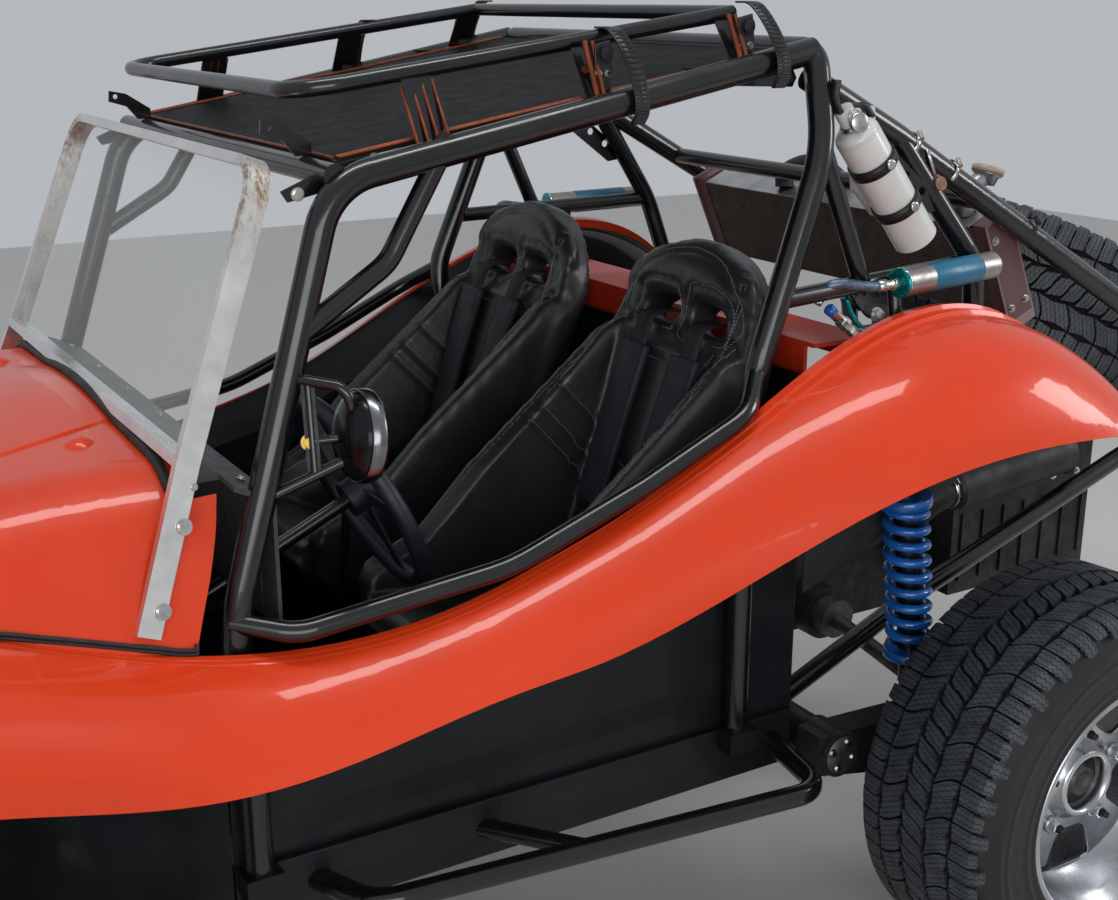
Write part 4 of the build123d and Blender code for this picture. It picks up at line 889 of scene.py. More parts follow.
belts = []
for s, _ in SIDES:
    path = belt_path((s * 0.078, 0.66, -0.14), (s * 0.078, 0.648, -0.06), (s * 0.078 + 0.006, 0.632, -0.004),
                     (s * 0.079 + 0.012, 0.60, 0.010), (s * 0.078 + 0.016, 0.50, 0.012),
                     (s * 0.074 + 0.012, 0.35, 0.012), (s * 0.066 + 0.006, 0.22, 0.014),
                     (s * 0.044, 0.12, 0.020), (s * 0.022, 0.06, 0.034))
    belts.append(ribbon(path, across_seat, BELT_WIDE, BELT_THICK, webbing))
    sleeve = belt_path((s * 0.0785 + 0.014, 0.570, 0.016), (s * 0.078 + 0.015, 0.46, 0.018),
                       (s * 0.074 + 0.012, 0.35, 0.018), (s * 0.069 + 0.008, 0.255, 0.019))
    belts.append(shade_smooth(modify(ribbon(sleeve, across_seat, 0.080, 0.015, sleeve_cloth), "BEVEL", width=0.0048,
                                     segments=3, limit_method="ANGLE", angle_limit=radians(60))))
    belts.append(stitches([[p + across_seat * edge + back_out * 0.0079 for p in sleeve] for edge in (0.033, -0.033)],
                          0.006, 0.0006, webbing))
    # Three-bar adjuster below the sleeve
    centre = on_back(s * 0.0665 + 0.006, 0.228, 0.019)
    for up in (-0.017, 0.0, 0.017):
        belts.append(tube([centre + back_up * up + across_seat * end for end in (-0.029, 0.029)], 0.0024,
                          black_bolt, 8))
    for out in (-0.029, 0.029):
        belts.append(tube([centre + back_up * end + across_seat * out for end in (-0.019, 0.019)], 0.0026,
                          black_bolt, 8))
    tail = belt_path((s * 0.0665 + 0.006, 0.24, 0.023), (s * 0.062, 0.19, 0.030), (s * 0.068, 0.12, 0.028))
    belts.append(ribbon(tail, across_seat, BELT_WIDE, 0.002, webbing))
    lap = smooth_path([from_hip(0.075, s * 0.02, 0.062), from_hip(0.06, s * 0.09, 0.052),
                       from_hip(0.025, s * 0.145, 0.045)], 6)
    belts.append(ribbon(lap, (-0.3, 0, 1), BELT_WIDE, BELT_THICK, webbing))
belts.append(slab([from_hip(0.075 + x, y, 0.062 + z) for x, y, z in
                   ((-0.014, -0.03, 0.03), (-0.014, 0.03, 0.03), (0.014, 0.03, -0.03), (0.014, -0.03, -0.03))],
                  0.012, bright_zinc, 0.002))
for piece in keep_pair("harness", belts):
    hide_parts("harnesses")


# Dash, steering and controls
# A bent aluminium dash with a crackle coat and three gauges, a thick suede-rubber steering wheel on
# a polished hub, hanging pedals, and a round mirror bolted to a D-shaped bracket on the pillar.
def turned(centre, axis, profile, material, count=32, smooth=True, capped=True):
    """A shape turned about an axis, from a profile of (along, radius) through its wall."""
    axis, side, other = crosswise(axis)
    centre = Vector(centre)
    verts = [centre + axis * along + (side * cos(i * tau / count) + other * sin(i * tau / count)) * radius
             for along, radius in profile for i in range(count)]
    faces = [(r * count + i, r * count + (i + 1) % count, (r + 1) * count + (i + 1) % count, (r + 1) * count + i)
             for r in range(len(profile) - 1) for i in range(count)]
    if capped and profile[0] != profile[-1]:
        faces += [tuple(r * count + i for i in range(count)) for r in (0, len(profile) - 1) if profile[r][1] > 1e-5]
    piece = solid(verts, faces, material)
    for face in piece.data.polygons:
        face.use_smooth = smooth and len(face.vertices) < 6
    return piece


crackle = finish("grey_crackle_coat", "#2E2F31", "#3B3C3F", 90, 0.55, 0.08, grain_mm=2.5, grain_depth=0.5)
finish_nodes(crackle, "dash_panel")
grip = finish("blue_black_grip_rubber", "#10131A", "#181D28", 60, 0.5, 0.1, grain_mm=2, grain_depth=0.25)
finish_nodes(grip, "steering_wheel")
finish_nodes(cage_paint, "steering_column", "foot_controls", "side_mirror")
polished = finish("polished_aluminium", "#BFC1C4", "#E2E3E5", 160, 0.12, 0.06, metallic=1.0)
gauge_face = finish("gauge_face", "#0C0C0D", "#121213", 50, 0.5)
white_paint = finish("white_marking_paint", "#C9C9C5", "#D8D8D4", 20, 0.5)
clear_lens, tree, shader = new_material("clear_lens", Alpha=0.2)
wire(tree, shader, {"Base Color": linear("#E6EDF0"),
                    "Roughness": ramp(tree, noise(tree, 40.0), start=0.02, end=0.08)})
MARKS, FIRST_MARK, MARK_STEP = 11, -130, 26
back = Vector((-1, 0, 0))
gauges = []
for y, radius in ((0.20, 0.032), (0.31, 0.046), (0.42, 0.032)):
    centre = Vector((0.6395, y, 1.02))
    bezel = [(0, radius + 0.004), (0.008, radius + 0.004), (0.011, radius), (0.008, radius - 0.003),
             (0.003, radius - 0.003), (0, radius + 0.004)]
    gauges += [turned(centre, back, bezel, polished),
               turned(centre, back, [(0.0, radius - 0.002), (0.003, radius - 0.002)], gauge_face)]
    for k in range(MARKS):
        turn = radians(FIRST_MARK + MARK_STEP * k)
        out = Vector((0, sin(turn), cos(turn))) * radius
        gauges.append(tube([centre + back * 0.0035 + out * share for share in (0.72, 0.88)], 0.0007, white_paint, 4))
    needle = centre + back * 0.0045
    gauges += [tube([needle, needle - Vector((0, radius * 0.6, radius * 0.3))], 0.0009, copper, 4),
               turned(centre, back, [(0.0075, radius - 0.0025), (0.009, radius - 0.0025)], clear_lens)]
for y in (-0.42, -0.34, -0.26, 0.02, 0.06, 0.10):
    gauges += [tube([(0.640, y, 1.03), (0.620, y, 1.038)], 0.003, bright_zinc, 8),
               turned((0.6395, y, 1.03), back, [(0, 0.007), (0.004, 0.007)], bright_zinc, 6, False)]
keep("dash_gauges", gauges)
keep("dash_screws", [bolts([((0.668, y, 1.1005), (-0.45, 0, 0.9)) for y in (-0.5, -0.3, -0.1, 0.1, 0.3, 0.5)],
                           0.005, 0.003, bright_zinc, 12)])

# Steering wheel: hub bolt, boss ring and the six screws of its spokes
COLUMN_TOP, COLUMN_FOOT = Vector((0.402, 0.31, 0.98)), Vector((1.385, 0.31, 0.523))
column_up, around, beyond = crosswise(COLUMN_TOP - COLUMN_FOOT)
hub = COLUMN_TOP + column_up * 0.028
spots = [(hub + (around * cos(a) + beyond * sin(a)) * 0.0235 + column_up * 0.004, column_up)
         for a in (k * tau / 6 for k in range(6))]
keep("steering_boss", [
    turned(hub, column_up, [(0, 0.030), (0.004, 0.030), (0.006, 0.022), (0.006, 0.0)], polished),
    turned(hub + column_up * 0.006, column_up, [(0, 0.011), (0.008, 0.011), (0.009, 0.009)], bright_zinc, 6, False),
    bolts(spots, 0.003, 0.003, black_bolt, 10)], "steering_wheel")

# Gear knob and pedal pads
knob = [turned((0.300, 0, 0.848), (0, 0, 1), [(0, 0.010), (0.006, 0.0225), (0.022, 0.0228), (0.038, 0.0195),
                                              (0.0445, 0.011), (0.0455, 0.0)], strap_plastic)]
for y in (0.130, 0.190, 0.250):
    for z in (0.476, 0.4895, 0.503, 0.5165, 0.530):
        knob.append(bar((0.9795, y - 0.021, z), (0.9845, y + 0.021, z + 0.006), black_rubber))
keep("knob_and_pedal_pads", knob)

# Mirror: a spun shell with a bright rim, its glass facing the driver
brass = finish("brass", "#9A7A3A", "#C0A05A", 10, 0.3, 0.08, metallic=1.0)
spun_shell = finish("black_nickel_shell", "#1C1B1C", "#303135", 60, 0.2, 0.06, metallic=0.8)
dark_chrome = finish("worn_chrome", "#6A6B6F", "#8E8F94", 40, 0.22, 0.08, metallic=1.0)
mirror_at, mirror_back = Vector((0.516, 0.60025, 1.167)), Vector((18, -0.5, 2)).normalized()
keep("mirror_shell", [
    turned(mirror_at, mirror_back, [(0.0095, 0.0655), (0.013, 0.0655), (0.021, 0.060), (0.030, 0.048), (0.036, 0.030),
                                    (0.038, 0.0)], spun_shell, 48),
    turned(mirror_at, mirror_back, [(-0.0105, 0.0625), (-0.012, 0.066), (-0.006, 0.0685), (0.012, 0.0685),
                                    (0.0135, 0.0655), (-0.0105, 0.0655), (-0.0105, 0.0625)], dark_chrome, 64),
    turned(mirror_at, mirror_back, [(-0.0115, 0.0), (-0.0098, 0.0625)], polished, 48),
    bolts([((0.590, 0.578, 1.163), Vector((0.35, 0.9, 0.1)).normalized())], 0.0085, 0.006, brass),
    ribbon([(0.5885, 0.5905, 1.118), (0.587, 0.5805, 1.1835), (0.5855, 0.5705, 1.249)], (0.8, -0.5, 0), 0.020, 0.005,
           spun_shell, False)])


# Front axle and steering parts
# Pressed and welded steel under chassis black, with forged steel knuckles gone dull. The tie rod and
# the shock absorbers are zinc plated.
chassis_black = finish("chassis_black", "#151516", "#232325", 120, 0.5, 0.1, grain_mm=3, grain_depth=0.12)
forged = finish("forged_steel", "#4A4845", "#6A6763", 45, 0.5, 0.1, metallic=0.85, grain_mm=2.5, grain_depth=0.35)
finish_nodes(chassis_black, "front_beam", "trailing_arms")
finish_nodes(forged, "knuckle_left", "knuckle_right", "drive_shafts")
finish_nodes(bright_zinc, "front_shocks", "tie_rod")


# Rear suspension
# Coil-over shock absorbers: a wound spring in gloss blue powder coat between black collars on a
# steel body. Torsion tube and boxed trailing arms are welded plate, with bolted bushings.
blue_coat = finish("gloss_blue_powder_coat", "#0D4A92", "#1560B4", 60, 0.2, 0.06, coat=0.5, grain_mm=4,
                   grain_depth=0.03)
finish_nodes(finish("shock_body_steel", "#232529", "#3A3D42", 60, 0.25, 0.06, metallic=0.8), "shock_absorbers")
coil_tree, given, end = new_tree("coil", Turns="Float", Coil_Radius="Float", Length="Float", Wire_Radius="Float")
helix = node(coil_tree, "GeometryNodeCurveSpiral", {
    "Resolution": 40, "Rotations": given["Turns"], "Start Radius": given["Coil Radius"],
    "End Radius": given["Coil Radius"], "Height": given["Length"]})
thread = node(coil_tree, "GeometryNodeCurvePrimitiveCircle", {"Resolution": 10, "Radius": given["Wire Radius"]})
close_tree(coil_tree, given, end, node(coil_tree, "GeometryNodeCurveToMesh", {
    "Fill Caps": True, "Curve": helix, "Profile Curve": thread}))
COIL_LOW, COIL_HIGH, SPRING_FOOT = Vector((-0.580, 0.625, 0.4802)), Vector((-0.525, 0.605, 1.085)), 0.118
coil_axis = (COIL_HIGH - COIL_LOW).normalized()
coil = grow(new_object("coil", bpy.data.meshes.new("coil")), coil_tree, Turns=9.2, Coil_Radius=0.0362, Length=0.284,
            Wire_Radius=0.0088, Finish=blue_coat)
coil.data.transform(Matrix.Translation(COIL_LOW + coil_axis * SPRING_FOOT)
                    @ Vector((0, 0, 1)).rotation_difference(coil_axis).to_matrix().to_4x4())
for piece in keep_pair("wound_spring", [shade_smooth(coil)]):
    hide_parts("coil_springs")
collars = []
for along, height, radius, coat in ((0.098, 0.018, 0.0495, blue_coat), (0.401, 0.02, 0.0495, blue_coat),
                                    (0.425, 0.03, 0.030, black_bolt)):
    collars.append(turned(COIL_LOW + coil_axis * along, coil_axis,
                          [(0, radius - 0.003), (0.002, radius), (height - 0.002, radius), (height, radius - 0.003)],
                          coat, 36))
for along in (0.45, 0.46, 0.47, 0.48, 0.49):
    collars.append(turned(COIL_LOW + coil_axis * along, coil_axis, [(0, 0.0223), (0.003, 0.0236), (0.006, 0.0223)],
                          bright_zinc, 28))
collars.append(bolts([(point + Vector((0, 0.0185, 0)), (0, 1, 0)) for point in (COIL_LOW, COIL_HIGH)], 0.011, 0.009,
                     bright_zinc))
keep_pair("shock_collars", collars)
BUSH_X, BUSH_Z, BUSH_BOLTS = -0.3883, 0.430, 0.027
bushes = []
for side, _ in SIDES:
    out = (0, side, 0)
    bushes += [
        turned((BUSH_X, side * 0.650, BUSH_Z), out, [(0, 0.038), (0.004, 0.036), (0.004, 0.0)], forged),
        bolts([((BUSH_X + BUSH_BOLTS * cos(a), side * 0.654, BUSH_Z + BUSH_BOLTS * sin(a)), out)
               for a in (0.4, 1.97, 3.54, 5.11)], 0.006, 0.005, bright_zinc),
        bolts([((x, side * 0.640, z), out) for x, z in ((-0.66, 0.40), (-0.70, 0.36), (-0.52, 0.42), (-0.56, 0.375))],
              0.007, 0.006, bright_zinc)]
keep("suspension_bolts", bushes)


# Engine, transaxle, exhaust and cooling
# A water-cooled engine behind the axle, its cast aluminium painted in dark tones as painted shade, with a black
# muffler beside it. The radiator stands above it with its top leaning forward, between painted side plates.
# Cast aluminium of the engine and transaxle, in dark tones of painted shade so that the engine reads as shadow
cast_alloy_painted_shade = finish("oiled_cast_aluminium", "#1F1F20", "#3B3B3A", 70, 0.5, 0.12, metallic=0.6, grain_mm=2.5,
                    grain_depth=0.3)
exhaust = finish("heat_darkened_steel", "#1C1C1E", "#2F2D2C", 90, 0.55, 0.1, metallic=0.4, grain_mm=3,
                 grain_depth=0.15)
finish_nodes(cast_alloy_painted_shade, "engine_block", "transaxle")
finish_nodes(exhaust, "muffler")
COVER = rounded([(-1.455, 0.690), (-1.065, 0.690), (-1.065, 0.800), (-1.455, 0.800)], 0.02)
motor = []
for side, _ in SIDES:
    motor.append(slab([(x, side * 0.150, z) for x, z in COVER], 0.225, exhaust, 0.006))
    motor.append(bolts([((x, side * 0.2625, z), (0, side, 0)) for x in (-1.43, -1.35, -1.26, -1.17, -1.09)
                        for z in (0.705, 0.785)], 0.006, 0.005, bright_zinc))
    rib = bar((-1.46, side * 0.262 - 0.003, 0.50), (-1.455, side * 0.262 + 0.003, 0.66), cast_alloy_painted_shade)
    motor.append(row(rib, 7, (0.065, 0, 0), cast_alloy_painted_shade))
for x in (-1.40, -1.30, -1.20, -1.10):
    runner = smooth_path([(x, 0.06, 0.806), (x, 0.03, 0.828), (x, -0.06, 0.834), (x, -0.13, 0.812)], 5)
    motor.append(tube(runner, 0.017, cast_alloy_painted_shade, 12))
motor.append(tube([(-1.42, 0.065, 0.832), (-1.08, 0.065, 0.832)], 0.027, cast_alloy_painted_shade, 16))
for y, z, radius in ((0.0, 0.56, 0.072), (0.13, 0.66, 0.045), (-0.14, 0.68, 0.040), (-0.15, 0.56, 0.036)):
    motor.append(turned((-1.480, y, z), (-1, 0, 0), [
        (0, radius), (0.004, radius), (0.008, radius - 0.006), (0.013, radius - 0.006), (0.017, radius),
        (0.020, radius), (0.020, radius * 0.35), (0.012, 0.0)], forged, 36))
belt = [(-1.4905, y, z) for y, z in ((0.035, 0.497), (0.172, 0.645), (0.150, 0.70), (0.10, 0.70), (-0.12, 0.718),
                                     (-0.165, 0.712), (-0.185, 0.55), (-0.165, 0.523), (-0.05, 0.508),
                                     (0.035, 0.497))]
motor.append(ribbon(smooth_path(belt, 4), (1, 0, 0), 0.012, 0.004, black_rubber))
keep("engine_details", motor)

# Exhaust elbow that leads down and inboard from the muffler, with its clamp
pipe = smooth_path([(-0.850, 0.440, 0.813), (-0.800, 0.438, 0.806), (-0.762, 0.425, 0.780), (-0.748, 0.405, 0.735),
                    (-0.760, 0.37, 0.69)], 6)
keep("exhaust_elbow", [
    tube(pipe, 0.036, exhaust, 24), hose_clamp(pipe[3], pipe[4] - pipe[2], 0.0365, 0.012, bright_zinc),
    turned((-0.840, 0.440, 0.812), (320, 0, -30), [(-0.004, 0.0462), (0.003, 0.0462), (0.012, 0.040), (0.014, 0.0)],
           exhaust, 36)])

# Radiator: brazed aluminium core sprayed dark, end tanks and plates in faded maroon paint
CORE_LOW, CORE_HIGH, CORE_HALF = Vector((-0.950, 0, 1.172)), Vector((-0.870, 0, 1.352)), 0.4475
FIN_COUNT, FIN_PITCH, PLATE_HALF, TOP_HALF = 34, 0.0057, 0.036, 0.034
core_up = (CORE_HIGH - CORE_LOW).normalized()
core_out = Vector((core_up.z, 0, -core_up.x))
core_paint = finish("dark_core_paint", "#171412", "#221D1A", 60, 0.6, 0.08)
tree = core_paint.node_tree
place = node(tree, "SeparateXYZ", {"Vector": spot_of(tree)})
overlay(core_paint, ramp(tree, math(tree, "ABSOLUTE", place.outputs[1]), 0.436, 0.438), "#5E4143", 0.42)
finish_nodes(core_paint, "radiator")
maroon = finish("maroon_enamel", "#75595B", "#8C6F71", 70, 0.42, 0.08, coat=0.15)
sheet_metal = finish("bare_aluminium_sheet", "#9FA0A1", "#BFC0C1", 60, 0.34, 0.1, metallic=0.95)
tan_cap = finish("yellowed_plastic_cap", "#8F7D66", "#B3A28C", 20, 0.45, 0.08)
fin_metal = finish("radiator_fins", "#6B5F56", "#857870", 40, 0.5, 0.08, metallic=0.3)
cooler = []
for face in (1, -1):
    fin = bar((-0.0018, -CORE_HALF, -0.0011), (0.0018, CORE_HALF, 0.0011), fin_metal)
    fin.data.transform(Matrix.Translation(CORE_LOW + core_out * face * 0.0262 + core_up * 0.004))
    cooler.append(row(fin, FIN_COUNT, core_up * FIN_PITCH, fin_metal))
plate_low, plate_high = CORE_LOW - core_up * 0.03, CORE_HIGH + core_up * 0.012
for side, _ in SIDES:
    cooler.append(slab([end + core_out * PLATE_HALF * way + Vector((0, side * 0.4755, 0)) for end, way in
                        ((plate_low, 1), (plate_low, -1), (plate_high, -1), (plate_high, 1))], 0.003, maroon, 0.001))
    cooler.append(bolts([(CORE_LOW + core_up * up + core_out * out + Vector((0, side * 0.4771, 0)), (0, side, 0))
                         for up in (0.02, 0.17) for out in (-0.02, 0.02)], 0.006, 0.005, bright_zinc))
cooler.append(slab([CORE_HIGH + core_out * TOP_HALF * way + core_up * 0.004 + Vector((0, y, 0))
                    for way, y in ((1, 0.43), (-1, 0.43), (-1, -0.43), (1, -0.43))], 0.0025, sheet_metal, 0.0008))
elbow = smooth_path([CORE_HIGH + Vector(p) for p in (
    (0.01, -0.16, 0.006), (0.005, -0.16, 0.038), (-0.005, -0.10, 0.062), (-0.02, -0.03, 0.045),
    (-0.03, 0.0, 0.008))], 6)
cooler.append(tube(elbow, 0.021, black_rubber, 16))
cooler += [hose_clamp(elbow[k], elbow[k + 1] - elbow[k - 1], 0.0213, 0.009, bright_zinc)
           for k in (4, len(elbow) - 5)]
# Filler neck, bent back from the tank, with its cap
neck_up, filler_up = Vector((0.008, 0, 0.05)).normalized(), Vector((-0.30, 0.0, 1.0)).normalized()
neck_at, cap_at = Vector((-0.8705, 0.38, 1.389)), Vector((-0.922, 0.384, 1.428))
cooler += [
    turned(neck_at - neck_up * 0.03, neck_up, [(0, 0.0225), (0.018, 0.0225), (0.022, 0.029), (0.027, 0.029)],
           sheet_metal),
    tube(smooth_path([(-0.8705, 0.380, 1.375), (-0.874, 0.380, 1.400), (-0.895, 0.382, 1.418),
                      (-0.918, 0.384, 1.430)], 6), 0.017, sheet_metal, 20),
    turned(cap_at, filler_up, [(-0.012, 0.020), (0.004, 0.024), (0.006, 0.029), (0.009, 0.029)], sheet_metal),
    turned(cap_at + filler_up * 0.009, filler_up, [(0, 0.0315), (0.010, 0.0325), (0.013, 0.029), (0.014, 0.020),
                                                   (0.011, 0.018), (0.011, 0.0)], tan_cap)]
keep("radiator_details", cooler)

# Shock reservoirs: drawn aluminium tube, a teal anodised end cap, and a plain blue band
finish_nodes(finish("drawn_aluminium_tube", "#8E8A85", "#ABA6A0", 40, 0.4, 0.08, metallic=0.9), "shock_reservoirs")
teal = finish("teal_anodised_aluminium", "#0E7F86", "#17A0A4", 20, 0.25, 0.06, metallic=0.8)
blue_band = finish("blue_vinyl_band", "#125A78", "#1A6C8C", 40, 0.35, 0.06)
CAN_FRONT, CAN_REAR = Vector((-0.498, 0.6063, 1.293)), Vector((-0.745, 0.5805, 1.299))
can_run = (CAN_REAR - CAN_FRONT).normalized()
keep_pair("reservoir_trim", [turned(CAN_FRONT + can_run * along, can_run, section, *look)
                             for along, section, *look in (
    (0.070, [(0, 0.0252), (0.001, 0.0256), (0.131, 0.0256), (0.132, 0.0252)], blue_band, 40),
    (-0.004, [(0.003, 0.0), (0.001, 0.014), (0, 0.020), (0.001, 0.0262), (0.009, 0.0268), (0.011, 0.0252)], teal, 40),
    (0.002, [(-0.004, 0.0225), (-0.005, 0.0255), (0.001, 0.0275), (0.003, 0.0255)], polished, 40),
    (-0.034, [(0, 0.0085), (0.012, 0.0085), (0.013, 0.011), (0.022, 0.011), (0.023, 0.008), (0.033, 0.008)],
     bright_zinc, 12, False))])
braid = finish("braided_steel_hose", "#4A6076", "#8397A8", 12, 0.32, 0.08, metallic=0.7, grain_mm=2.5,
               grain_depth=0.5)
line = smooth_path([(-0.466, 0.6075, 1.2925), (-0.440, 0.607, 1.292), (-0.405, 0.603, 1.297), (-0.375, 0.595, 1.302),
                    (-0.352, 0.584, 1.296), (-0.338, 0.572, 1.268)], 8)
crimps = [turned(line[k], line[k] - line[k + 1], [(-0.022, 0.0102), (-0.002, 0.0108), (0, 0.0094)], bright_zinc, 14)
          for k in (0, len(line) - 7)]
keep_pair("reservoir_hose", [tube(line, 0.0090, braid, 14), hose_clamp(line[-2], line[-1] - line[-3], 0.0095, 0.008,
                                                                     bright_zinc)] + crimps)
# Black splash liner that closes the gap between the bulkhead and the fender
keep_pair("splash_liner", [slab([
    (-0.362, 0.548, 0.72), (-0.362, 0.548, 1.075), (-0.470, 0.560, 1.115), (-0.620, 0.575, 1.135),
    (-0.760, 0.585, 1.110), (-0.760, 0.585, 0.93), (-0.560, 0.560, 0.80)], 0.003, black_rubber)])

# Fire extinguisher: white enamelled bottle in two steel bands, zinc-plated valve with black levers
BOTTLE_LOW, BOTTLE_HIGH = Vector((-0.562, 0.570, 1.362)), Vector((-0.412, 0.570, 1.548))
PIN_RADIUS = 0.012
bottle_up = (BOTTLE_HIGH - BOTTLE_LOW).normalized()
enamel = finish("white_enamel", "#BFC0BC", "#CFD0CC", 160, 0.26, 0.05, coat=0.3)
tree = enamel.node_tree
reach = node(tree, "VectorMath", {0: spot_of(tree), 1: tuple(bottle_up)}, operation="DOT_PRODUCT")
overlay(enamel, above(tree, reach, BOTTLE_HIGH.dot(bottle_up) + 0.001, 0.0005), "#C4C6C3", 0.3)
finish_nodes(enamel, "fire_extinguisher")
head_top, sideways = BOTTLE_HIGH + bottle_up * 0.05, Vector((0, 1, 0)).cross(bottle_up).normalized()
bottle = []
for share in (0.3, 0.7):
    strap = BOTTLE_LOW.lerp(BOTTLE_HIGH, share)
    bottle += [
        turned(strap - bottle_up * 0.0005, bottle_up, [(0, 0.0420), (0.0, 0.0428), (0.020, 0.0428), (0.020, 0.0420)],
               black_bolt, 40),
        turned(strap + bottle_up * 0.010 + Vector((0, 0.043, 0)), (0, 1, 0),
               [(0, 0.009), (0.005, 0.009), (0.006, 0.006)], bright_zinc, 16)]
for bend in (((0.004, -0.012), (0.022, 0.020), (0.020, 0.052)), ((-0.008, 0.006), (-0.038, 0.010), (-0.060, -0.010))):
    lever = smooth_path([head_top + Vector((x, 0, z)) for x, z in bend], 6)
    bottle.append(ribbon(lever, (0, 1, 0), 0.018, 0.007, strap_plastic))
pin_at = head_top - bottle_up * 0.008 + Vector((0, 0.022, 0))
bottle += [
    turned(BOTTLE_HIGH + bottle_up * 0.016, bottle_up, [(0, 0.021), (0.008, 0.021), (0.010, 0.018)], bright_zinc),
    turned(BOTTLE_HIGH, bottle_up, [(-0.003, 0.0392), (0.006, 0.0375), (0.013, 0.031), (0.017, 0.022),
                                    (0.018, 0.017)], enamel, 40),
    turned(head_top - bottle_up * 0.022 + Vector((0, 0.016, 0)), (0.2, 1, 0.1),
           [(0, 0.012), (0.006, 0.017), (0.012, 0.017), (0.014, 0.014), (0.013, 0.0)], bright_zinc, 24),
    tube(disc_outline(PIN_RADIUS, 16, lambda a, b: pin_at + sideways * a + bottle_up * b), 0.0016, bright_zinc, 6,
         True)]
keep("extinguisher_trim", bottle)

# Fittings behind the near door rail: a hose end in bright steel, and a teal bracket with its bolt
FITTING_LOW, FITTING_HIGH = Vector((-0.432, 0.585, 1.198)), Vector((-0.350, 0.590, 1.262))
run = (FITTING_HIGH - FITTING_LOW).normalized()
keep("shock_fittings_left", [
    turned(FITTING_LOW, run, [(0, 0.0075), (0.016, 0.0075), (0.018, 0.011), (0.032, 0.011), (0.034, 0.0085),
                              (0.044, 0.0085), (0.046, 0.0125), (0.062, 0.0125), (0.064, 0.010), (0.088, 0.010)],
           bright_zinc, 8, False),
    turned(FITTING_LOW + run * 0.088, run, [(0, 0.010), (0.012, 0.0105), (0.014, 0.008)], blue_coat, 12),
    ribbon(smooth_path([(-0.400, 0.575, 1.270), (-0.415, 0.577, 1.240), (-0.440, 0.579, 1.216),
                        (-0.475, 0.580, 1.215)], 6), (0, 1, 0), 0.018, 0.005, teal),
    bolts([((-0.466, 0.588, 1.236), (0, 1, 0.2))], 0.010, 0.008, bright_zinc, 12),
    tube([(-0.472, 0.575, 1.236), (-0.472, 0.582, 1.196)], 0.006, bright_zinc, 8)])

# Lamps: chromed shells with clear lenses in front, red ones behind
chrome = finish("chrome_plate", "#C9CACC", "#E4E5E7", 60, 0.07, 0.03, metallic=1.0)
red = finish("red_acrylic", "#7A0A0A", "#960F0E", 30, 0.15, 0.05, coat=0.4)
finish_nodes(chrome, "headlamps")
finish_nodes(red, "tail_lamps")
SCREW_CIRCLE = 0.085
lamps = []
for side, _ in SIDES:
    face, tail = Vector((1.885, side * 0.345, 0.962)), Vector((-1.475, side * 0.5644, 1.030))
    lamps += [
        turned(face, (1, 0, 0), [(-0.012, 0.0853), (-0.010, 0.089), (0.002, 0.089), (0.005, 0.085), (0.004, 0.079),
                                 (-0.001, 0.078)], chrome, 48),
        turned(face, (1, 0, 0), [(0.0005, 0.0785), (0.006, 0.060), (0.0095, 0.030), (0.011, 0.0)], clear_lens, 48),
        bolts([(face + Vector((0.003, SCREW_CIRCLE * cos(a), SCREW_CIRCLE * sin(a))), (1, 0, 0))
               for a in (1.57, 3.67, 5.76)], 0.004, 0.003, bright_zinc, 10)]
    for radius in (0.036, 0.027, 0.018):
        lamps.append(turned(tail, (-1, 0, 0), [(-0.001, radius), (0.002, radius - 0.0015), (-0.001, radius - 0.003)],
                            red, 36))
    lamps.append(turned(tail, (-1, 0, 0), [(-0.012, 0.0423), (0.002, 0.0445), (0.004, 0.043), (0.001, 0.0395)],
                        black_rubber, 36))
keep("lamp_trim", lamps)


# Tyres
# All-terrain tyres: a turned carcass with plain ribbed sidewalls, and one moulded pitch of tread
# (ten blocks with chamfered edges and zigzag sipes) set round it. The pattern faces outward on each side.
round_tree, given, end = new_tree("round", Count="Int", Centre="Vector")
places = node(round_tree, "GeometryNodeMeshLine", {"Offset": (0, 0, 0), "Count": given["Count"]})
turn = math(round_tree, "MULTIPLY", node(round_tree, "GeometryNodeInputIndex"), tau)
angles = node(round_tree, "CombineXYZ", {"Y": math(round_tree, "DIVIDE", turn, given["Count"])})
ring = placed(round_tree, places, given["Geometry"], Rotation=angles)
close_tree(round_tree, given, end, node(round_tree, "GeometryNodeTransform", {
    "Geometry": ring, "Translation": given["Centre"]}))

RIM_EDGE = 0.2245
rubber_wall = finish("sidewall_rubber", "#0B0B0C", "#141415", 45, 0.5, 0.08, grain_mm=1.5, grain_depth=0.1)
# The groove floor: the same rubber painted near black, as painted shade down in the grooves
groove_floor_painted_shade = finish("groove_rubber", "#030303", "#050505", 40, 0.9)
# Tread blocks: the sidewalls' rubber in a lighter bluish grey, partly real dust and partly painted highlight on the
# block tops
dusty_tread_painted_highlight = finish("tread_rubber", "#2C3035", "#43484E", 38, 0.5, 0.1, grain_mm=1.2, grain_depth=0.2)
# Sipes: fine zigzag cuts across the blocks, laid out on their own map and painted near black as the shade inside the
# cuts
tree = dusty_tread_painted_highlight.node_tree
moulded = node(tree, "SeparateXYZ", {"Vector": node(tree, "UVMap", uv_map="tread")}).outputs
bent = math(tree, "MULTIPLY_ADD", math(tree, "PINGPONG", moulded[1], 0.5), 0.7, moulded[0])
gap = math(tree, "ABSOLUTE", math(tree, "SUBTRACT", math(tree, "FRACT", bent), 0.5))
overlay(dusty_tread_painted_highlight, ramp(tree, gap, 0.11, 0.07), "#040404", 0.85)

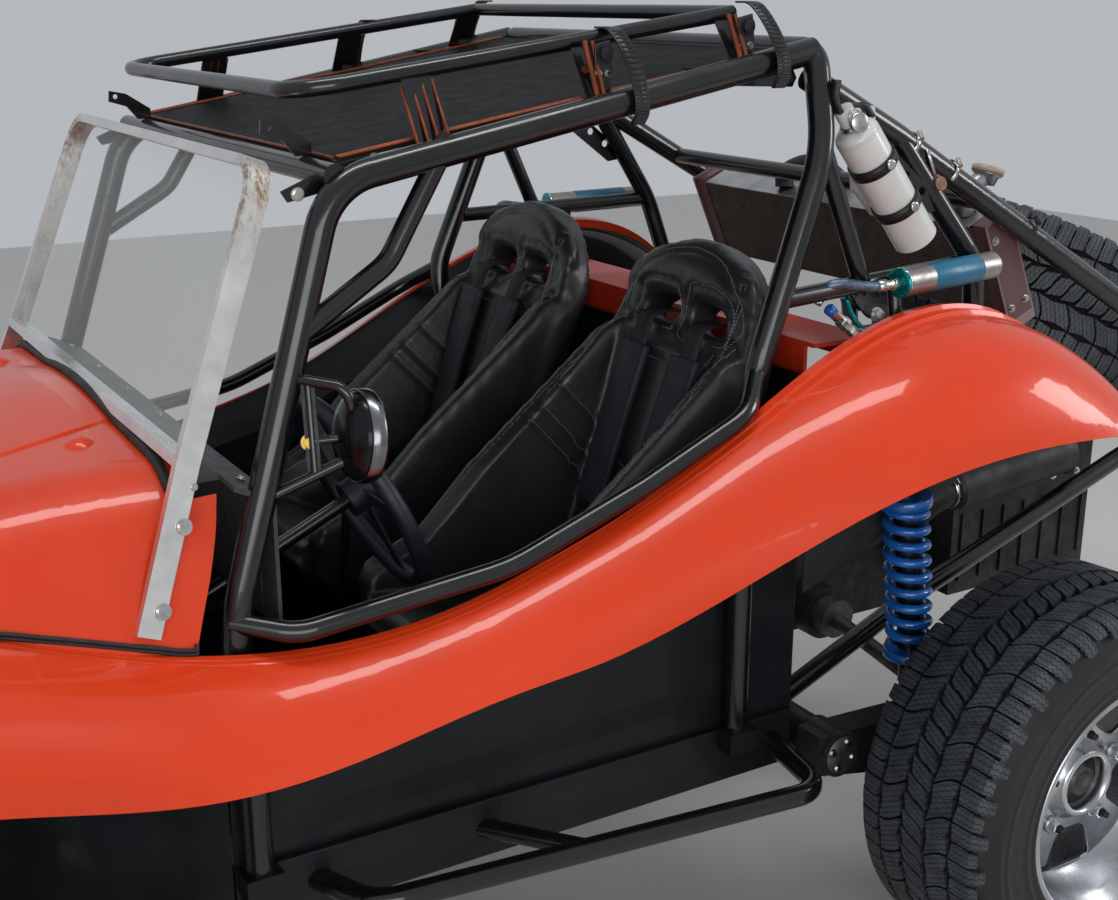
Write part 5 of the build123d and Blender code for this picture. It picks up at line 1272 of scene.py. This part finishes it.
# Blocks in mm on a developed crown 116 half wide, each as stations (across, along) on its two edges.
# The other half of the crown has them turned round its middle.
SHOULDER = [(87, 2, 92, 29), (101, 1, 103, 30), (116, 2, 116, 30), (128, 4, 128, 30), (142, 5.5, 142, 30),
            (158, 7, 158, 29)]
SHOULDER_SHORT = [(92, 36, 87, 63.5), (103, 35, 101, 64.5), (116, 36, 116, 64.5), (128, 38, 128, 64.5),
                  (143, 40, 143, 63)]
MIDDLE = [(32, 26, 37, 54), (43, 17, 45, 46.5), (54, 9, 55, 39), (67, 3, 67, 33), (80, 1, 76, 29)]
MIDDLE_PAIR = [(37, 57.5, 32, 86), (45, 50, 43, 79), (55, 42.5, 54, 71.5), (67, 36.5, 67, 65), (76, 33, 80, 62)]
CENTRE = [(-25, -5, -18, 23), (-9, 2, -6, 30.5), (6, 5, 9, 33.5), (18, 13, 25, 41)]
PITCH_MM, CROWN_MM, SECOND_CENTRE = 69, 116, 34.5
SHOULDER_BEND, STEEPEST = 0.030, 1.3
GROOVE_DEEP = 0.0108


def outset(loop, by):
    """A loop moved outward by the same distance all along."""
    moved = []
    for k, (x, y) in enumerate(loop):
        (x0, y0), (x1, y1) = loop[k - 1], loop[(k + 1) % len(loop)]
        ahead, behind = Vector((x1 - x, y1 - y)).normalized(), Vector((x - x0, y - y0)).normalized()
        normal = Vector((ahead.y + behind.y, -ahead.x - behind.x)).normalized()
        lean = max(0.5, normal.dot(Vector((ahead.y, -ahead.x))))
        moved.append((x + normal.x * by / lean, y + normal.y * by / lean))
    return moved


def crown(across, lift, radius, flat):
    """A place on the tyre's section, from its developed distance across the tread."""
    side, run = (1 if across > 0 else -1), abs(across)
    if run <= flat:
        return across, radius - 0.0006 - 0.004 * (run / flat) ** 2 + lift
    lean = min((run - flat) / SHOULDER_BEND, STEEPEST)
    down = max(run - flat - SHOULDER_BEND * STEEPEST, 0)
    y = flat + SHOULDER_BEND * sin(lean) + down * cos(STEEPEST) + lift * sin(lean)
    r = radius - 0.0046 - SHOULDER_BEND * (1 - cos(lean)) - down * sin(STEEPEST) + lift * cos(lean)
    return side * y, r


def tread_pitch(radius, flat, count):
    """One pitch of tread, round the axle's own centre."""
    pitch = tau * radius * 1000 / count
    blocks = [([[v * turn for v in station] for station in rows], slant) for turn in (1, -1)
              for rows, slant in ((SHOULDER, 0.03), (SHOULDER_SHORT, 0.03), (MIDDLE, -0.55), (MIDDLE_PAIR, -0.55))]
    blocks += [([(t0, u0 + on, t1, u1 + on) for t0, u0, t1, u1 in CENTRE], 0.42) for on in (0, SECOND_CENTRE)]
    verts, faces, marks = [], [], []
    for stations, slant in blocks:
        loop = [(t, u) for t, u, _, _ in stations] + [(t, u) for _, _, t, u in reversed(stations)]
        edge, first = len(loop), len(verts)
        for by, lift in ((-1.1, 0), (0, -0.0011), (0.9, -0.0115)):
            for t, u in outset(loop, -by):
                if abs(t) <= CROWN_MM:
                    run = t * flat / (CROWN_MM / 1000) / 1000
                else:
                    run = (abs(t) / 1000 - CROWN_MM / 1000 + flat) * (1 if t > 0 else -1)
                y, r = crown(run, lift, radius, flat)
                along = u * pitch / PITCH_MM / 1000 / radius
                verts.append((r * sin(along), y, r * cos(along)))
                marks.append(((u - slant * t) / 10.5, t / 11))
        faces += [(first + ring + k, first + ring + (k + 1) % edge, first + ring + edge + (k + 1) % edge,
                   first + ring + edge + k) for ring in (0, edge) for k in range(edge)]
        faces += [(first + k, first + edge - 1 - k, first + edge - 2 - k, first + k + 1)
                  for k in range(edge // 2 - 1)]
    piece = solid(verts, faces, dusty_tread_painted_highlight)
    layer = piece.data.uv_layers.new(name="tread")
    for corner in piece.data.loops:
        layer.data[corner.index].uv = marks[corner.vertex_index]
    return piece


def carcass(centre, radius, half, flat):
    """The tyre under its blocks: ribbed sidewalls, and the floor of the grooves."""
    low, high = RIM_EDGE - 0.0015, radius - 0.047
    wall = [(half - 0.030, low), (half - 0.0125, low)]
    # How far up the sidewall, and how far in from the widest place
    for share, inset in ((0.04, 0.0098), (0.08, 0.0080), (0.09, 0.0062), (0.13, 0.0056), (0.14, 0.0066), (0.26, 0.0044),
                         (0.27, 0.0034), (0.285, 0.0034), (0.295, 0.0042), (0.42, 0.0022), (0.60, 0.0012),
                         (0.70, 0.0014), (0.71, 0.0004), (0.725, 0.0004), (0.735, 0.0014), (0.84, 0.0018),
                         (0.85, 0.0009), (0.865, 0.0009), (0.875, 0.002), (1.0, 0.0062)):
        wall.append((half - inset, low + (high - low) * share))
    floor_line = [crown(flat * k / 6, -GROOVE_DEEP, radius, flat) for k in range(-6, 7)]
    bends = [crown(flat + 0.0098 * k, -GROOVE_DEEP, radius, flat) for k in (1, 2, 3, 4)]
    top = [(-y, r) for y, r in reversed(bends)] + floor_line + bends
    return join("carcass", [
        turned(centre, (0, 1, 0), profile, coat, count, capped=False) for profile, coat, count in (
            ([(-y, r) for y, r in wall] + top[:3], rubber_wall, 128), (top[-3:] + wall[::-1], rubber_wall, 128),
            (top[2:-2], groove_floor_painted_shade, 96))])


# Wheels
# Deep-dished polished aluminium with turned steps, a rolled flange, chromed nuts on blackened
# studs and a rubber snap-in valve. The grooves left by the lathe run round each wheel's own axle.
def vector_math(tree, operation, *values, **inputs):
    return node(tree, "VectorMath", {**dict(enumerate(values)), **inputs}, operation=operation)


def lathe_finish(name, centre, axis):
    """Polished aluminium with turning marks round an axle."""
    made = finish(name, "#A9ABAF", "#CDCFD2", 140, 0.27, 0.06, metallic=1.0)
    tree = made.node_tree
    out = vector_math(tree, "SUBTRACT", spot_of(tree), tuple(centre))
    along = vector_math(tree, "DOT_PRODUCT", out, tuple(axis))
    flat_out = vector_math(tree, "SUBTRACT", out, vector_math(tree, "SCALE", tuple(axis), Scale=along))
    line = node(tree, "CombineXYZ", {"X": vector_math(tree, "LENGTH", flat_out)})
    wire(tree, shader_of(made), {"Normal": bump(tree, noise(tree, 900.0, 1.0, line), 0.14, 0.0004)})
    return made


nut_chrome = finish("chromed_steel", "#B9BABD", "#D6D7DA", 20, 0.12, 0.05, metallic=1.0)
WINDOWS, DISC_RADIUS, DISC_THICK, BOLT_CIRCLE = 5, RIM_EDGE - 0.034, 0.010, 0.098


def disc_with_windows(centre, out, metal):
    """The wheel's disc, cut from plate with rounded windows and eased edges."""
    disc = bmesh.new()
    window = rounded([(-0.034, 0.101), (0.034, 0.101), (0.063, 0.180), (-0.063, 0.180)], 0.022, 6)
    loops = [disc_outline(DISC_RADIUS, 96), disc_outline(0.045, 48)]
    for k in range(WINDOWS):
        turn = Matrix.Rotation(k * tau / WINDOWS, 2)
        loops.append([tuple(turn @ Vector((-p.x, -p.y))) for p in window])
    edges = []
    for loop in loops:
        corners = [disc.verts.new(centre + Vector((x, 0, z))) for x, z in loop]
        edges += [disc.edges.new((corners[k - 1], corners[k])) for k in range(len(corners))]
    made = bmesh.ops.triangle_fill(disc, use_beauty=True, edges=edges, normal=out)["geom"]
    front = [f for f in made if isinstance(f, bmesh.types.BMFace)]
    back_side = bmesh.ops.extrude_face_region(disc, geom=front)["geom"]
    bmesh.ops.translate(disc, verts=[v for v in back_side if isinstance(v, bmesh.types.BMVert)],
                        vec=out * -DISC_THICK)
    bmesh.ops.recalc_face_normals(disc, faces=disc.faces)
    mesh = bpy.data.meshes.new("disc")
    disc.to_mesh(mesh)
    disc.free()
    mesh.materials.append(metal)
    return modify(new_object("disc", mesh), "BEVEL", width=0.0018, segments=2, angle_limit=radians(50))


def wheel_look(centre, half, metal):
    """One left wheel: turned barrel and dish, a disc with five windows, hub ring, nuts and valve."""
    out = Vector((0, 1, 0))
    face, mount = half - 0.125, 0.690 - centre.y
    # The barrel's section: in from the tyre's half width, or out from the disc's face, and below the rim's edge
    rim = [(half - a, b) for a, b in (
        (0.0145, 0.002), (0.0125, -0.004), (0.0105, -0.0065), (0.0075, -0.0060), (0.006, -0.002), (0.0068, 0.004),
        (0.011, 0.0075), (0.026, 0.0085), (0.029, 0.0125), (0.048, 0.0145), (0.051, 0.0190), (0.072, 0.0215),
        (0.080, 0.0270))]
    rim += [(face + 0.006, 0.0330), (face + 0.003, 0.040), (face - 0.006, 0.040), (face - 0.012, 0.031),
            (0.014 - half, 0.031), (0.014 - half, 0.0245), (face - 0.010, 0.0245), (half - 0.040, 0.006),
            (half - 0.0145, 0.002)]
    pieces = [
        turned(centre, out, [(a, RIM_EDGE - b) for a, b in rim], metal, 96),
        turned(centre, out, [(mount, 0.030), (mount, 0.076), (face - 0.006, 0.080), (face - 0.005, 0.030),
                             (mount, 0.030)], forged, 48)]
    for section, coat, count in (
            (((0, 0.082), (0.006, 0.080), (0.008, 0.071), (0.028, 0.066), (0.032, 0.062), (0.031, 0.055),
              (0.004, 0.052), (0, 0.082)), metal, 64),
            (((-0.002, 0.053), (0.006, 0.050), (0.008, 0.030), (0.020, 0.028), (0.022, 0.024), (0.012, 0.020),
              (0.012, 0.0)), forged, 36)):
        pieces.append(turned(centre, out, [(face + a, r) for a, r in section], coat, count))
    pieces.append(disc_with_windows(centre + out * (face + 0.004), out, metal))
    for k in range(WINDOWS):
        turn = radians(36 + 72 * k)
        spot = centre + Vector((-sin(turn), 0, -cos(turn))) * BOLT_CIRCLE + out * (face + 0.004)
        pieces += [turned(spot, out, [(0, 0.017), (0.004, 0.017), (0.006, 0.0145)], metal, 24),
                   turned(spot, out, [(0.004, 0.0125), (0.018, 0.0125), (0.020, 0.0105)], nut_chrome, 6, False),
                   turned(spot, out, [(0.020, 0.0088), (0.025, 0.0080), (0.027, 0.0066), (0.034, 0.0062),
                                      (0.035, 0.0)], black_bolt, 16)]
    lean = Vector((cos(radians(-52)), 0, sin(radians(-52))))
    root = centre + lean * (RIM_EDGE - 0.029) + out * (face + 0.020)
    tip = centre + lean * (RIM_EDGE - 0.062) + out * (face + 0.052)
    pieces.append(turned(root, tip - root, [(-0.006, 0.0085), (0.004, 0.0080), (0.008, 0.0052), (0.028, 0.0046),
                                            (0.029, 0.0040), (0.031, 0.0048), (0.042, 0.0046), (0.0435, 0.0)],
                         black_rubber, 16))
    return join("wheel", pieces)


# radius, half width, flat half of the tread, pitches round it, and centre
WHEELS = {"front": (0.345, 0.1075, 0.0735, 31, Vector((1.340, 0.790, 0.345))),
          "rear": (0.385, 0.150, 0.116, 35, Vector((-0.760, 0.850, 0.385)))}
SPARE_PLACE, SPARE_TILT = (-1.455, 0, 1.060), radians(28)
laid = Matrix(((0, -sin(SPARE_TILT), cos(SPARE_TILT)), (1, 0, 0), (0, cos(SPARE_TILT), sin(SPARE_TILT)))).to_4x4()
to_spare = Matrix.Translation(SPARE_PLACE) @ laid @ Matrix.Translation(-WHEELS["rear"][4])
for axle, (radius, half, flat, count, centre) in WHEELS.items():
    metal = lathe_finish(f"polished_wheel_{axle}", centre * Vector((1, 0, 1)), (0, 1, 0))
    blocks = grow(tread_pitch(radius, flat, count), round_tree, Count=count, Centre=centre, Finish=dusty_tread_painted_highlight)
    tyre = join("tyre", [blocks, carcass(centre, radius, half, flat)])
    wheel = wheel_look(centre, half, metal)
    for piece, names, slot, stands_for in (
            (tyre, "tread_and_carcass_{}", "tyre_rubber", "tyre_{}"),
            (wheel, "wheel_{}_look", "polished_aluminium", "rim_{}")):
        for side, label in SIDES:
            place = f"{axle}_{label}"
            if side > 0:
                twin = new_object(names.format(place), piece.data.copy())
            else:
                twin = mirrored(piece, names.format(place))
            settle(twin, f"wheel_{place}")
            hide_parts(stands_for.format(place))
        if axle == "rear":
            mesh = piece.data.copy()
            mesh.transform(to_spare)
            if metal in list(mesh.materials):
                mesh.materials[list(mesh.materials).index(metal)] = lathe_finish(
                    "polished_wheel_spare", SPARE_PLACE, (-sin(SPARE_TILT), 0, cos(SPARE_TILT)))
            twin = settle(new_object(names.format("spare"), mesh))
            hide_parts("spare_tyre" if piece == tyre else "spare_rim")
        bpy.data.objects.remove(piece)
